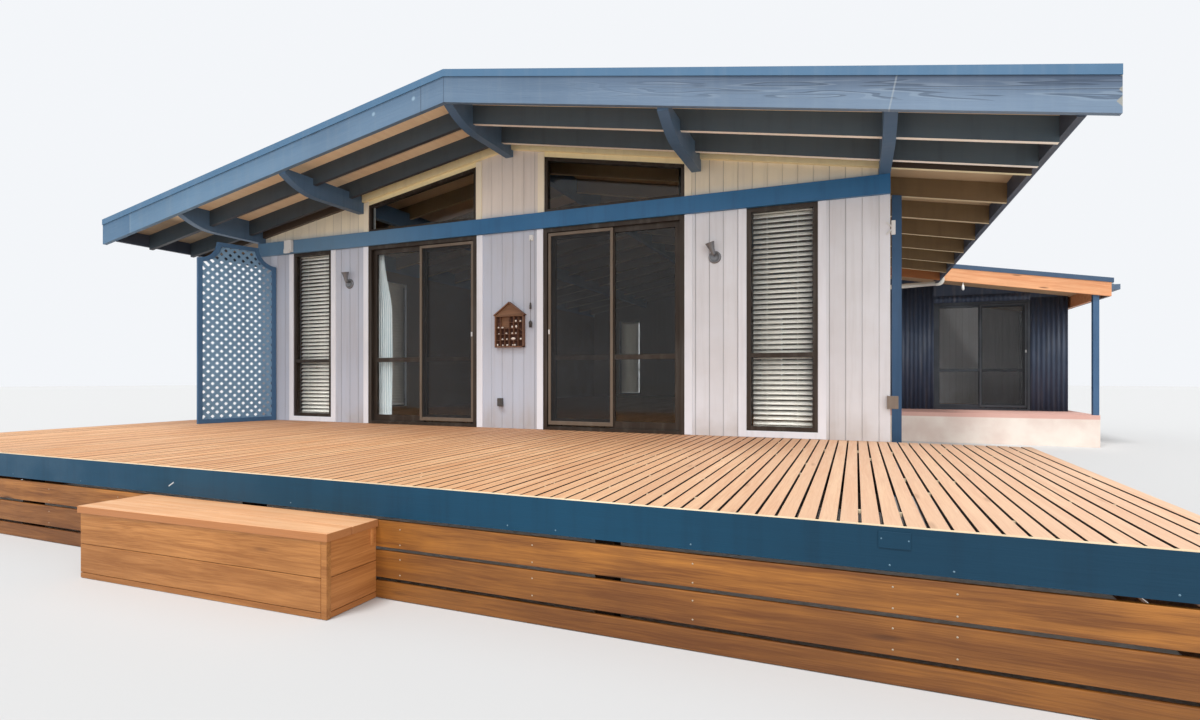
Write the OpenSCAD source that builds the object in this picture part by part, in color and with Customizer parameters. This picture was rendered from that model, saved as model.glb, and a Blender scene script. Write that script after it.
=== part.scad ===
// Beach house: a gabled timber house on a raised deck, with a lower wing behind it on the right.
// Millimetres. X runs right along the front wall from the ridge line, Y runs back from the
// front wall's outer face, and Z runs up from the lowest ground that the house stands on.
// Roof planes are given by their height over the deck at the ridge line, before they fall.

/* [House] */
// Width of the front wall
house_w = 7410; // [7200:10:8000]
// Depth of the house from front wall face to rear wall face
house_d = 11000; // [10400:50:12400]
// Height of the deck and the floor over the lowest ground
deck_h = 600; // [500:10:900]
// Thickness of the timber walls
wall_t = 110; // [100:5:130]
// Height of the front door heads over the deck
head_h = 2100; // [2040:10:2160]
// Depth of the blue beam over the front doors
head_d = 165; // [140:5:180]
// How far the beam over the front doors stands out of the wall
head_out = 40; // [20:5:50]
// Thickness of the floor
floor_t = 60; // [40:5:90]

/* [Roof] */
// Pitch of the main roof in degrees
roof_pitch = 10.2; // [9.8:0.1:10.8]
// Depth of the eave beams at the side walls' faces
eave_beam_d = 228; // [200:2:260]
// Thickness of the roof sheet, measured upright
sheet_t = 23; // [15:1:30]
// Thickness of the insulated ceiling panels, measured upright
panel_t = 90; // [80:5:100]
// Depth of the rafters, measured upright
rafter_d = 180; // [160:5:200]
// Thickness of rafters, fascias and barge boards
board_t = 45; // [35:5:50]
// Overhang of the roof in front of the front wall
front_over = 1160; // [1000:10:1300]
// Overhang of the roof behind the rear wall
rear_over = 400; // [300:10:500]
// Overhang of the eaves beyond the side walls, to the fascia's face
eave_over = 1045; // [900:5:1100]
// Length of the barge board beyond the fascia, which covers the gutter
barge_past = 170; // [140:5:200]
// Depth of the barge boards, measured upright
barge_d = 248; // [220:4:280]
// Height of the metal cap over the barge boards
cap_h = 47; // [30:1:60]
// Spacing of the rafters behind the front wall
rafter_step = 820; // [700:10:900]
// Clearance between pieces that meet on a slope
fit = 0.2; // [0.1:0.1:0.5]

/* [Beams] */
// Width of the ridge, middle and eave beams
beam_w = 90; // [70:5:110]
// Distance of the middle beams' centres beyond the front door sets
mid_past = 115; // [90:5:140]
// Space between the middle beams and the ceiling panels
mid_drop = 99; // [60:1:140]
// Depth of the middle beams
mid_d = 200; // [160:5:220]
// Height from the ridge beam's underside to the roof sheet's ridge
ridge_beam_d = 373; // [340:1:400]
// How far the undersides of the beams rise towards their front ends
beam_rise = 145; // [80:5:150]
// Length of the rising stretch at the front ends of the beams
beam_taper = 450; // [300:10:500]

/* [Doors and windows] */
// Half width of the wall between the two front door sets
door_in = 410; // [390:5:440]
// Width of a front door set
door_w = 1510; // [1480:10:1540]
// Width of the wall between a door set and its side window
pier_w = 585; // [540:5:620]
// Width of the tall side windows
window_w = 620; // [560:5:660]
// Height of the tall windows' sills over the floor
sill_h = 60; // [50:5:90]
// Height of the crossbar in the doors and windows over the floor
bar_h = 750; // [700:10:900]
// Depth of the outer frames of doors and windows
frame_d = 100; // [95:5:110]
// Face width of the outer frames
frame_w = 45; // [35:1:55]
// Face width of the stiles and rails of door panels
stile_w = 55; // [45:1:65]
// How far two door panels overlap at the middle
lap = 20; // [10:1:30]
// Thickness of the panes
pane_t = 6; // [4:1:8]
// Width of the gathered curtain behind the left doors
curtain_w = 250; // [150:10:400]
// Depth of the board between the raked windows and the ceiling panels
rake_board_d = 230; // [210:5:250]
// Clearance between sliding panels and what they pass
slide_gap = 6; // [5:0.5:8]
// Running gap between a door roller and its rail
roller_gap = 0.3; // [0.1:0.05:0.5]

/* [Deck] */
// How far the deck reaches in front of the house
deck_d = 3254; // [2900:10:3600]
// How far the deck reaches left of the house
deck_past_left = 715; // [500:5:900]
// How far the deck reaches right of the house
deck_past_right = 1005; // [600:5:1100]
// Thickness of the deck boards
deck_t = 22; // [19:1:32]
// Depth of the blue band below the deck boards
band_d = 163; // [140:5:190]
// Thickness of the band and skirt boards
skirt_t = 22; // [16:1:25]
// Height of a skirt board
skirt_w = 140; // [120:5:150]
// Gap between skirt boards
skirt_gap = 15; // [8:1:25]
// Width of the bearers and stumps under the deck
stump_w = 90; // [80:5:110]
// Left end of the step
step_left = -700; // [-1200:10:-400]
// Right end of the step
step_right = 1130; // [800:10:1600]
// How far the step reaches in front of the deck
step_d = 400; // [350:10:480]
// Drop from the deck to the top of the step
step_drop = 187; // [187:1:220]
// Thickness of the step's top
step_t = 40; // [32:1:45]

/* [Lattice screen] */
// Width of the screen
screen_w = 889; // [800:5:950]
// Height of the screen's sides
screen_side = 1950; // [1850:10:2000]
// Height of the screen's middle
screen_top = 2160; // [2100:10:2200]
// Face width of the screen's frame
screen_frame = 50; // [40:1:60]
// Width of a lath
lath_w = 35; // [28:1:40]
// Upright spacing of the laths
lath_step = 97; // [94:1:110]
// Turn of the screen from square to the wall, in degrees
screen_turn = 16.1; // [10:0.5:20]
// Distance of the screen's wall end from the side of the house
screen_in = 285; // [225:5:305]

/* [Wing] */
// Distance from the front wall to the front wall of the wing
wing_y = 7800; // [7600:10:8000]
// Width of the wing beside the house
wing_w = 3265; // [3150:5:3400]
// How far the wing's roof reaches in front of its front wall
porch_d = 1200; // [1000:10:1400]
// Pitch of the wing's roof in degrees
wing_pitch = 9.4; // [9.2:0.1:9.8]
// How far the wing's floor lies below the deck
wing_drop = 77; // [60:1:100]
// Depth of the wing's front fascia, measured upright
wing_fascia_d = 225; // [200:5:250]
// Overhang of the wing's roof beyond its side wall, to the fascia's face
wing_over = 275; // [240:5:320]
// Distance from the house to the left side of the wing's door
wing_door_in = 1125; // [1000:5:1200]
// Width of the wing's door set
wing_door_w = 1570; // [1500:10:1600]
// How much lower the wing's door set is than the front ones
wing_door_less = 58; // [40:2:100]
// Height of the wall between the wing's side window and the ceiling panels
wing_window_drop = 246; // [150:2:400]

/* [Fittings] */
// Outer width of a gutter
gutter_w = 115; // [100:5:125]
// Height of a gutter
gutter_h = 85; // [75:5:90]
// Outer diameter of the downpipe
pipe_d = 90; // [75:5:100]
// Width of the letter shelf
shelf_w = 400; // [360:10:440]
// Height of the blue posts' faces
post_w = 83; // [75:1:90]

/* [Hidden] */
$fn = 32;
half = house_w / 2;
door_out = door_in + door_w;
fall = tan(roof_pitch);
wing_fall = tan(wing_pitch);
fascia_x = half + eave_over;
barge_x = fascia_x + barge_past;
front_y = -front_over;
rear_y = house_d + rear_over;
wing_x = half + wing_w;
wing_end = wing_x + wing_over;
porch_y = wing_y - porch_d;
wing_door_x = half + wing_door_in;
deck_left = half + deck_past_left;
deck_right = half + deck_past_right;
screen_x = half - screen_in;
eave_under = head_h + head_d;
panel_under = eave_under + eave_beam_d + fall * half;
panel_top = panel_under + panel_t;
ridge_h = panel_top + sheet_t;
mid_x = door_out + mid_past;
ridge_under = ridge_h - ridge_beam_d;
mid_top = panel_under - fall * mid_x - mid_drop;
mid_under = mid_top - mid_d;
rake_h = panel_under - rake_board_d;
wall_top = panel_under - fit;
rafter_under = panel_under - rafter_d;
sheet_under = panel_top + fit;
cap_under = ridge_h + fit;
fascia_under = ridge_h - barge_d - fall * fascia_x - 5;
window_in = door_out + pier_w;
window_out = window_in + window_w;
window_h = head_h - sill_h;
deck_front = -deck_d;
band_y = deck_front + 4;
frame_y = band_y + skirt_t;
beam_y0 = front_y + board_t;
porch_face = porch_y + board_t;
wing_floor = -wing_drop;
rear_in = house_d - wall_t;
rake_in = door_in + 10;
post_x = half + 53;
post_y = rafter_step + (board_t - post_w) / 2;
front_rafter_rows = [-760, -240];
// How the roof sheet, its flashings and gutters end
sheet_in = 5;
sheet_past = 50;
roof_gap = 3;
gutter_end = 60;
gutter_top = drop(panel_top, fascia_x + sheet_past, fall) - roof_gap;
gutter_wall = 5;
cap_w = 160;
cap_t = 8;
cap_lip = 18;
ridge_cap_t = 20;
porch_cap_h = 75;
porch_beam_d = 200;
porch_beam_past = 900;
pipe_in = 200;
// Deck frame
band_left = 4 - deck_left;
band_right = deck_right - 4;
stump_left = band_left + skirt_t;
stump_right = band_right - skirt_t;
bearer_rows = [frame_y, (frame_y - stump_w) / 2, -stump_w];
bearer_under = -deck_t - 140;
step_lip = 12;
screen_d = 40;
lattice_t = 12;
window_depth = 65;
// Fittings on the front wall and its right corner
lamp_x = door_out + pier_w / 2;
lamp_z = 1672;
lamp_r = 58;
sensor_x = half - beam_w - 432;
bracket_z = 1747;
bracket_h = 117;
meter_z = 281;
meter_h = 110;
shelf_low = 860;
shelf_high = 1210;
shelf_apex = 1370;
// Places of the panels in the depth of a door frame
screen_y = 2;
screen_t = 18;
fixed_y = 28;
sash_t = 30;
slider_y = 64;
sill_t = 30;
rail_t = 8;
roller_r = 12;
slide_low = sill_t + rail_t + slide_gap;
roller_z = sill_t + rail_t + roller_gap + roller_r;
slide_x = frame_w + slide_gap;
// Windows in the walls that the front does not show
left_windows = [2400, 6000];
rear_windows = [-2500, 1400];
wing_door_h = head_h - wing_door_less;
wing_window_h = panel_under - wing_fall * wing_x - wing_window_drop - sill_h;
wing_window = (wing_y + wall_t + rear_in) / 2;
// Curtain behind the left doors: its first edge, its middle and its track's underside
curtain_x = 40 - door_out;
curtain_y = wall_t + 22;
track_z = head_h + 20;
e = 0.01;

// A box given by its lowest and highest corners, with heights over the deck
module block(low, high) {
    translate([low[0], low[1], low[2] + deck_h])
        cube([high[0] - low[0], high[1] - low[1], high[2] - low[2]]);
}

// An outline in X and height over the deck, carried from y0 to y1
module across(points, y0, y1) {
    translate([0, y1, deck_h]) rotate([90, 0, 0]) linear_extrude(y1 - y0) polygon(points);
}

// An outline in Y and height over the deck, carried from x0 to x1
module along(points, x0, x1) {
    translate([x0, 0, deck_h]) rotate([90, 0, 90]) linear_extrude(x1 - x0) polygon(points);
}

module both_sides() {
    children();
    mirror([1, 0, 0]) children();
}

// Height of a roof plane at x, for a plane that is high at the ridge line
function drop(high, x, f) = high - f * abs(x);

// A slab between two parallel roof planes, from x0 to x1 on one side of the ridge
module slope(x0, x1, y0, y1, under, top, f) {
    across([[x0, drop(under, x0, f)], [x1, drop(under, x1, f)],
        [x1, drop(top, x1, f)], [x0, drop(top, x0, f)]], y0, y1);
}

// A board bent over the ridge, ending at x_left and x_right
module chevron(x_left, x_right, y0, y1, under, top, f_right) {
    across([[-x_left, drop(under, x_left, fall)], [0, under], [x_right, drop(under, x_right, f_right)],
        [x_right, drop(top, x_right, f_right)], [0, top], [-x_left, drop(top, x_left, fall)]], y0, y1);
}

// Ground floor structure

module house_base() color("dimgray") {
    difference() {
        block([-half, 0, -deck_h], [half, house_d, -floor_t]);
        block([wall_t - half, wall_t, -deck_h - e], [half - wall_t, rear_in, -floor_t + e]);
    }
}

module main_floor() color("burlywood") block([-half, 0, -floor_t], [half, house_d, 0]);

module wing_slab() color("rosybrown")
    block([half, porch_y, -deck_h], [wing_x + board_t + post_w, house_d, wing_floor]);

// Walls

// Piers beside the doors and windows, and the wall above the head beam
module front_wall() color("whitesmoke") {
    block([-door_in, 0, 0], [door_in, wall_t, head_h]);
    both_sides() {
        block([door_out, 0, 0], [window_in, wall_t, head_h]);
        block([window_out, 0, 0], [half, wall_t, head_h]);
    }
    difference() {
        union() {
            chevron_panel(rake_in);
            both_sides() slope_panel(door_out, half);
        }
        beam_pockets();
    }
}

module beam_pockets() {
    for (x = [-mid_x, 0, mid_x])
        block([x - beam_w / 2, -e, x == 0 ? ridge_under : mid_under],
            [x + beam_w / 2, wall_t + e, x == 0 ? ridge_h : mid_top]);
    both_sides() block([half - beam_w, -e, eave_under - e], [half + e, wall_t + e, ridge_h]);
}

// Wall between the head beam and the ceiling panels, centred on the ridge
module chevron_panel(x) {
    across([[-x, eave_under], [x, eave_under], [x, drop(wall_top, x, fall)],
        [0, wall_top], [-x, drop(wall_top, x, fall)]], 0, wall_t);
}

// Wall between the head beam and the ceiling panels, on one side of the ridge
module slope_panel(x0, x1) {
    across([[x0, eave_under], [x1, eave_under], [x1, drop(wall_top, x1, fall)],
        [x0, drop(wall_top, x0, fall)]], 0, wall_t);
}

module gable_rakes() color("wheat") {
    both_sides() {
        difference() {
            slope(beam_w / 2, fascia_x - board_t, -board_t, 0, rafter_under, wall_top, fall);
            beam_cuts();
        }
        slope(rake_in, door_out, 0, wall_t, rake_h, wall_top, fall);
    }
}

module head_beam() color("steelblue")
    block([-half, -head_out, head_h], [half, wall_t, head_h + head_d]);

// A post from low up to a roof plane, with its left side at x
module post(x, y, low, under, f) {
    across([[x, low], [x + post_w, low], [x + post_w, drop(under, x + post_w, f)],
        [x, drop(under, x, f)]], y, y + post_w);
}

module blue_posts() color("steelblue") {
    both_sides() post(post_x, post_y, -deck_h, rafter_under - fit, fall);
    post(wing_x + board_t, porch_face, wing_floor, wall_top, wing_fall);
}

// Wall slabs along Y from y0 to y1, left out where a window centred on a listed place is
module wall_along_y(x0, x1, y0, y1, low, high, windows) {
    edges = [y0, for (c = windows) each [c - window_w / 2, c + window_w / 2], y1];
    for (i = [0:2:len(edges) - 1])
        block([x0, edges[i], low], [x1, edges[i + 1], high]);
}

module side_walls() color("whitesmoke") {
    wall_along_y(-half, wall_t - half, wall_t, rear_in, 0, eave_under, left_windows);
    block([half - wall_t, wall_t, 0], [half, wing_y + wall_t, eave_under]);
}

// Underside of the roof over the rear wall at x
function rear_top(x) = drop(wall_top, x, x < 0 ? fall : wing_fall);

// A piece of the rear wall from x0 to x1, from low up to the roof
module rear_piece(x0, x1, low) {
    ridge = x0 < 0 && x1 > 0 ? [[0, wall_top]] : [];
    across(concat([[x0, low], [x1, low], [x1, rear_top(x1)]], ridge, [[x0, rear_top(x0)]]),
        rear_in, house_d);
}

module rear_wall() color("whitesmoke") {
    w = window_w / 2;
    rear_piece(-half, rear_windows[0] - w, 0);
    rear_piece(rear_windows[0] + w, rear_windows[1] - w, 0);
    across([[rear_windows[1] + w, 0], [half, 0], [half, wing_floor], [wing_x, wing_floor],
        [wing_x, rear_top(wing_x)], [rear_windows[1] + w, rear_top(rear_windows[1] + w)]],
        rear_in, house_d);
}

module wing_wall_piece(x0, x1, low) {
    across([[x0, low], [x1, low], [x1, drop(wall_top, x1, wing_fall)],
        [x0, drop(wall_top, x0, wing_fall)]], wing_y, wing_y + wall_t);
}

module wing_front_wall() color("darkslateblue") {
    wing_wall_piece(half, wing_door_x, wing_floor);
    wing_wall_piece(wing_door_x + wing_door_w, wing_x, wing_floor);
}

// A piece of the wing's side wall from y0 to y1, from low up to the roof
module wing_side_piece(y0, y1, low) {
    x = wing_x - wall_t;
    across([[x, low], [wing_x, low], [wing_x, drop(wall_top, wing_x, wing_fall)],
        [x, drop(wall_top, x, wing_fall)]], y0, y1);
}

module wing_side_wall() color("darkslateblue") {
    wing_side_piece(wing_y + wall_t, wing_window - window_w / 2, wing_floor);
    wing_side_piece(wing_window + window_w / 2, rear_in, wing_floor);
}

// Strips of white wall below and above the windows
module wall_infills() color("whitesmoke") {
    w = window_w / 2;
    both_sides() block([window_in, 0, 0], [window_out, wall_t, sill_h]);
    for (y = left_windows) {
        block([-half, y - w, 0], [wall_t - half, y + w, sill_h]);
        block([-half, y - w, head_h], [wall_t - half, y + w, eave_under]);
    }
    for (x = rear_windows) {
        block([x - w, rear_in, 0], [x + w, house_d, sill_h]);
        rear_piece(x - w, x + w, head_h);
    }
    across([[half - beam_w, drop(wall_top, half - beam_w, fall)], [half, drop(wall_top, half, fall)],
        [half, drop(wall_top, half, wing_fall)],
        [half - beam_w, drop(wall_top, half - beam_w, wing_fall)]], porch_face, wing_y + wall_t);
}

// Strips of dark wall over the wing's door and below and above its side window
module wing_infills() color("darkslateblue") {
    w = window_w / 2;
    wing_wall_piece(wing_door_x, wing_door_x + wing_door_w, wing_floor + wing_door_h);
    block([wing_x - wall_t, wing_window - w, wing_floor], [wing_x, wing_window + w, sill_h]);
    wing_side_piece(wing_window - w, wing_window + w, sill_h + wing_window_h);
}

// Beams and rafters

// A beam's side view, flat below, with its underside rising in a curve to its front end
function beam_side(under, top, y1) = concat(
    [for (t = [0:0.125:1]) [beam_y0 + beam_taper * t, under + beam_rise * pow(1 - t, 2)]],
    [[y1, under], [y1, top], [beam_y0, top]]);

module eave_beam(y1) {
    intersection() {
        along(beam_side(eave_under, ridge_h, y1), half - beam_w, half);
        slope(half - beam_w, half, beam_y0, y1, 0, wall_top, fall);
    }
}

module roof_beams() color("steelblue") {
    along(beam_side(ridge_under, panel_top - fall * beam_w / 2, rear_in), -beam_w / 2, beam_w / 2);
    both_sides() translate([mid_x, 0, 0])
        along(beam_side(mid_under, mid_top, rear_in), -beam_w / 2, beam_w / 2);
    mirror([1, 0, 0]) eave_beam(rear_in);
    eave_beam(wing_y + wall_t);
}

// Room for the middle and eave beams, cut out of what crosses them
module beam_cuts() {
    block([mid_x - beam_w / 2, beam_y0, mid_under], [mid_x + beam_w / 2, rear_in, mid_top]);
    block([half - beam_w, beam_y0, 0], [half, rear_in, ridge_h]);
}

module rafter(y) {
    difference() {
        slope(beam_w / 2, fascia_x - board_t, y, y + board_t, rafter_under, wall_top, fall);
        beam_cuts();
    }
}

module front_rafters() color("midnightblue") both_sides() for (y = front_rafter_rows) rafter(y);

module roof_rafters() color("tan") {
    for (y = [rafter_step:rafter_step:rear_in - board_t]) {
        mirror([1, 0, 0]) rafter(y);
        if (y + board_t < porch_y) rafter(y);
    }
}

// Roof

module roof_panels() color("wheat") {
    inner = beam_w / 2;
    edge = fascia_x - board_t;
    mirror([1, 0, 0]) slope(inner, edge, beam_y0, rear_y - board_t, panel_under, panel_top, fall);
    slope(inner, edge, beam_y0, porch_y, panel_under, panel_top, fall);
    slope(inner, wing_end - board_t, porch_face, rear_y - board_t, panel_under, panel_top, wing_fall);
}

module roof_sheets() color("slategray") {
    edge = fascia_x + sheet_past;
    mirror([1, 0, 0]) slope(sheet_in, edge, beam_y0, rear_y - board_t, sheet_under, ridge_h, fall);
    slope(sheet_in, edge, beam_y0, porch_y, sheet_under, ridge_h, fall);
    slope(sheet_in, wing_end + sheet_past, porch_face, rear_y - board_t, sheet_under, ridge_h, wing_fall);
}

module ridge_cap() color("slategray") {
    top = ridge_h + ridge_cap_t;
    chevron(cap_w, cap_w, front_y + cap_w, porch_y, cap_under, top, fall);
    chevron(cap_w, cap_w, porch_y, rear_y - cap_w, cap_under, top, wing_fall);
}

module barge_boards() color("steelblue") {
    under = ridge_h - barge_d;
    chevron(barge_x, barge_x, front_y, beam_y0, under, ridge_h, fall);
    chevron(barge_x, wing_end + board_t, rear_y - board_t, rear_y, under, ridge_h, wing_fall);
}

// Metal flashings over both barge boards and over the porch's fascia
module roof_caps() color("cadetblue") {
    lip = ridge_h - cap_lip;
    rear_x = wing_end + board_t;
    chevron(barge_x, barge_x, front_y - cap_t, front_y + cap_w, cap_under, ridge_h + cap_h, fall);
    chevron(barge_x, barge_x, front_y - cap_t, front_y, lip, cap_under, fall);
    chevron(barge_x, rear_x, rear_y - cap_w, rear_y + cap_t, cap_under, ridge_h + cap_h, wing_fall);
    chevron(barge_x, rear_x, rear_y, rear_y + cap_t, lip, cap_under, wing_fall);
    slope(cap_w + 5, wing_end + 30, porch_y - cap_t, porch_face + 90,
        cap_under, ridge_h + porch_cap_h, wing_fall);
}

// An eave board at x, from its square underside up to the roof sheet
module fascia(x, y0, y1, under, f) {
    across([[x - board_t, under], [x, under], [x, drop(panel_top, x, f)],
        [x - board_t, drop(panel_top, x - board_t, f)]], y0, y1);
}

module side_fascias() color("steelblue") {
    mirror([1, 0, 0]) fascia(fascia_x, beam_y0, rear_y - board_t, fascia_under, fall);
    fascia(fascia_x, beam_y0, porch_y, fascia_under, fall);
    fascia(wing_end, porch_face, rear_y - board_t,
        drop(ridge_h - wing_fascia_d, wing_end, wing_fall), wing_fall);
}

// An open gutter with closed ends, hung on the face of a fascia at x
module gutter(x, y0, y1, top) {
    difference() {
        block([x, y0, top - gutter_h], [x + gutter_w, y1, top]);
        block([x + gutter_wall, y0 + gutter_wall, top - gutter_h + gutter_wall],
            [x + gutter_w - gutter_wall, y1 - gutter_wall, top + e]);
    }
}

module gutters() color("lightsteelblue") {
    mirror([1, 0, 0]) gutter(fascia_x, beam_y0, rear_y - board_t, gutter_top);
    gutter(fascia_x, beam_y0, porch_y - gutter_end, gutter_top);
    gutter(wing_end, porch_y, rear_y - board_t,
        drop(panel_top, wing_end + sheet_past, wing_fall) - roof_gap);
}

// Front fascia and side beam of the roof over the wing's door
module porch_timbers() color("sandybrown") {
    x0 = wing_x + board_t;
    x1 = x0 + board_t;
    y0 = porch_face + post_w;
    low = drop(wall_top, x0, wing_fall) - porch_beam_d;
    difference() {
        slope(beam_w / 2, wing_end, porch_y, porch_face, ridge_h - wing_fascia_d, ridge_h, wing_fall);
        block([half - beam_w, porch_y - e, 0],
            [half, porch_face + e, drop(panel_under, half - beam_w, fall)]);
    }
    across([[x0, low], [x1, low], [x1, drop(wall_top, x1, wing_fall)],
        [x0, drop(wall_top, x0, wing_fall)]], y0, wing_y + porch_beam_past);
}

// White pipe from the right gutter back to the wall and down to the ground
module downpipe() color("white") {
    r = pipe_d / 2;
    y = porch_y - pipe_in;
    x0 = fascia_x + gutter_w / 2;
    x1 = half + r + 4 + roof_gap;
    z0 = gutter_top - gutter_h;
    z1 = z0 - 230;
    z2 = z1 - 90;
    run = sqrt(pow(x0 - x1, 2) + pow(z1 - z2, 2));
    turn = atan2(x0 - x1, z1 - z2);
    translate([x0, y, deck_h + z1]) cylinder(r = r, h = z0 - z1);
    translate([x0, y, deck_h + z1]) sphere(r = r + 4);
    translate([x0, y, deck_h + z1]) rotate([0, 180 + turn, 0]) cylinder(r = r, h = run);
    translate([x1, y, deck_h + z2]) sphere(r = r + 4);
    translate([x1, y, 0]) cylinder(r = r, h = deck_h + z2);
}

// Deck and step

module deck_floor() color("peru")
    block([-deck_left, deck_front, -deck_t], [deck_right, 0, 0]);

module deck_bearers() color("saddlebrown")
    for (y = bearer_rows)
        block([stump_left, y, bearer_under], [stump_right, y + stump_w, -deck_t]);

module deck_stumps() color("saddlebrown")
    for (y = bearer_rows, i = [0:4]) {
        x = stump_left + i * (stump_right - stump_left - stump_w) / 4;
        block([x, y, -deck_h], [x + stump_w, y + stump_w, bearer_under]);
    }

module deck_band() color("steelblue") {
    low = -deck_t - band_d;
    difference() {
        block([band_left, band_y, low], [band_right, 0, -deck_t]);
        block([stump_left, frame_y, low - e], [stump_right, e, -deck_t + e]);
    }
}

module deck_skirt() color("chocolate") {
    top = -deck_t - band_d - skirt_gap;
    rows = ceil((deck_h + top) / (skirt_w + skirt_gap));
    for (i = [0:rows - 1]) {
        z1 = top - i * (skirt_w + skirt_gap);
        z0 = max(z1 - skirt_w, 2 - deck_h);
        block([band_left, band_y, z0], [band_right, frame_y, z1]);
        block([band_left, frame_y + 2, z0], [stump_left, 0, z1]);
        block([stump_right, frame_y + 2, z0], [band_right, 0, z1]);
    }
}

module step_top() color("peru")
    block([step_left, band_y - step_d, -step_drop - step_t], [step_right, band_y, -step_drop]);

module step_box() color("chocolate") {
    x0 = step_left + step_lip;
    x1 = step_right - step_lip;
    y0 = band_y - step_d + step_lip;
    high = -step_drop - step_t;
    difference() {
        block([x0, y0, -deck_h], [x1, band_y, high]);
        block([x0 + skirt_t, y0 + skirt_t, -deck_h - e], [x1 - skirt_t, band_y + e, high + e]);
    }
}

// Lattice screen

// The screen's outline, with its upper corners scooped out, drawn in by inset
module screen_outline(inset) {
    scoop = screen_top - screen_side;
    difference() {
        translate([inset, inset]) square([screen_w - 2 * inset, screen_top - 2 * inset]);
        for (x = [0, screen_w])
            translate([x, screen_top]) circle(r = scoop + inset);
    }
}

module laths() {
    n = ceil((screen_top + screen_w) / lath_step);
    for (i = [0:n]) {
        translate([0, i * lath_step - screen_w]) rotate(45)
            translate([0, -lath_w / 2]) square([screen_w * sqrt(2), lath_w]);
        translate([0, i * lath_step]) rotate(-45)
            translate([0, -lath_w / 2]) square([screen_w * sqrt(2), lath_w]);
    }
}

module lattice_screen() color("steelblue") {
    y = -screen_d * sin(screen_turn) - fit;
    translate([-screen_x, y, deck_h]) rotate([0, 0, 90 - screen_turn]) rotate([90, 0, 180]) {
        linear_extrude(screen_d) difference() {
            screen_outline(0);
            screen_outline(screen_frame);
        }
        translate([0, 0, (screen_d - lattice_t) / 2]) linear_extrude(lattice_t) intersection() {
            screen_outline(screen_frame - 1);
            laths();
        }
    }
}

// Fittings

// A lamp at the wall face: a round plate, an arm and a flared head that leans to one side
module wall_light(lean) {
    rotate([90, 0, 0]) cylinder(r = lamp_r, h = 22);
    translate([0, -10, 20]) rotate([90, 0, 0]) cylinder(r = 14, h = 54);
    translate([0, -52, 10]) rotate([12, lean, 0]) cylinder(r1 = 18, r2 = 45, h = 120);
}

module wall_lights() color("dimgray") {
    translate([-lamp_x, 0, deck_h + lamp_z]) wall_light(0);
    translate([lamp_x, 0, deck_h + lamp_z]) wall_light(-16);
}

// A small wooden shelf of pigeonholes with a gabled top
module letter_shelf() color("saddlebrown") {
    low = shelf_low;
    high = shelf_high;
    apex = shelf_apex;
    t = 10;
    cols = 5;
    rows = 4;
    cell_w = (shelf_w - t * (cols + 1)) / cols;
    cell_h = (high - low - t * (rows + 1)) / rows;
    across([[-shelf_w / 2, low], [shelf_w / 2, low], [shelf_w / 2, high], [0, apex], [-shelf_w / 2, high]],
        -12, 0);
    difference() {
        across([[-shelf_w / 2, low], [shelf_w / 2, low], [shelf_w / 2, high], [0, apex],
            [-shelf_w / 2, high]], -80, -12);
        for (i = [0:cols - 1], j = [0:rows - 1])
            block([-shelf_w / 2 + t + i * (cell_w + t), -80 - e, low + t + j * (cell_h + t)],
                [-shelf_w / 2 + (i + 1) * (cell_w + t), -12, low + (j + 1) * (cell_h + t)]);
        across([[45 - shelf_w / 2, high + t / 2], [shelf_w / 2 - 45, high + t / 2], [0, apex - 25]],
            -80 - e, -12);
    }
}

// Sensor box, outlet, and the bracket and small box at the right corner of the wall
module wall_fittings() color("lightgray") {
    block([-sensor_x - 90, -head_out - 60, head_h + 20], [-sensor_x, -head_out, head_h + head_d + 21]);
    block([-135, -40, 240], [-75, 0, 320]);
    block([half - 38, -14, bracket_z], [half + 42, 0, bracket_z + bracket_h]);
    block([half - 30, -35, meter_z], [half + 62, 0, meter_z + meter_h]);
}

// Doors. Each set is drawn from its left jamb with the sliding panel on the left.

module door_frame(w, h) {
    difference() {
        translate([0, -10, 0]) cube([w, frame_d + 10, h]);
        translate([frame_w, -10 - e, sill_t])
            cube([w - 2 * frame_w, frame_d + 10 + 2 * e, h - sill_t - frame_w]);
    }
    for (y = [screen_y + screen_t / 2, slider_y + sash_t / 2])
        translate([frame_w, y - 3, sill_t - e]) cube([w - 2 * frame_w, 6, rail_t + e]);
}

// A glazed panel's stiles, rails and crossbar, with its panes left out
module sash(x0, x1, y, z0, z1, bar) {
    difference() {
        translate([x0, y, z0]) cube([x1 - x0, sash_t, z1 - z0]);
        translate([x0 + stile_w, y - e, z0 + stile_w + 20])
            cube([x1 - x0 - 2 * stile_w, sash_t + 2 * e, bar - 25 - z0 - stile_w - 20]);
        translate([x0 + stile_w, y - e, bar + 25])
            cube([x1 - x0 - 2 * stile_w, sash_t + 2 * e, z1 - stile_w - bar - 25]);
    }
}

module panes(x0, x1, y, z0, z1, bar) {
    translate([x0 + stile_w, y + (sash_t - pane_t) / 2, z0 + stile_w + 20])
        cube([x1 - x0 - 2 * stile_w, pane_t, bar - 25 - z0 - stile_w - 20]);
    translate([x0 + stile_w, y + (sash_t - pane_t) / 2, bar + 25])
        cube([x1 - x0 - 2 * stile_w, pane_t, z1 - stile_w - bar - 25]);
}

// Two rollers that carry a sliding panel over the rail on the sill
module rollers(x0, x1, y, z0) {
    for (x = [x0 + 120, x1 - 120])
        translate([x, y - 4, z0]) rotate([-90, 0, 0]) cylinder(r = roller_r, h = 8);
}

function slide_end(w) = w / 2 + lap;
function slide_high(h) = h - frame_w - slide_gap;

module fixed_sash(w, h)
    sash(w / 2 - lap, w - frame_w, fixed_y, sill_t, h - frame_w, bar_h);

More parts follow.
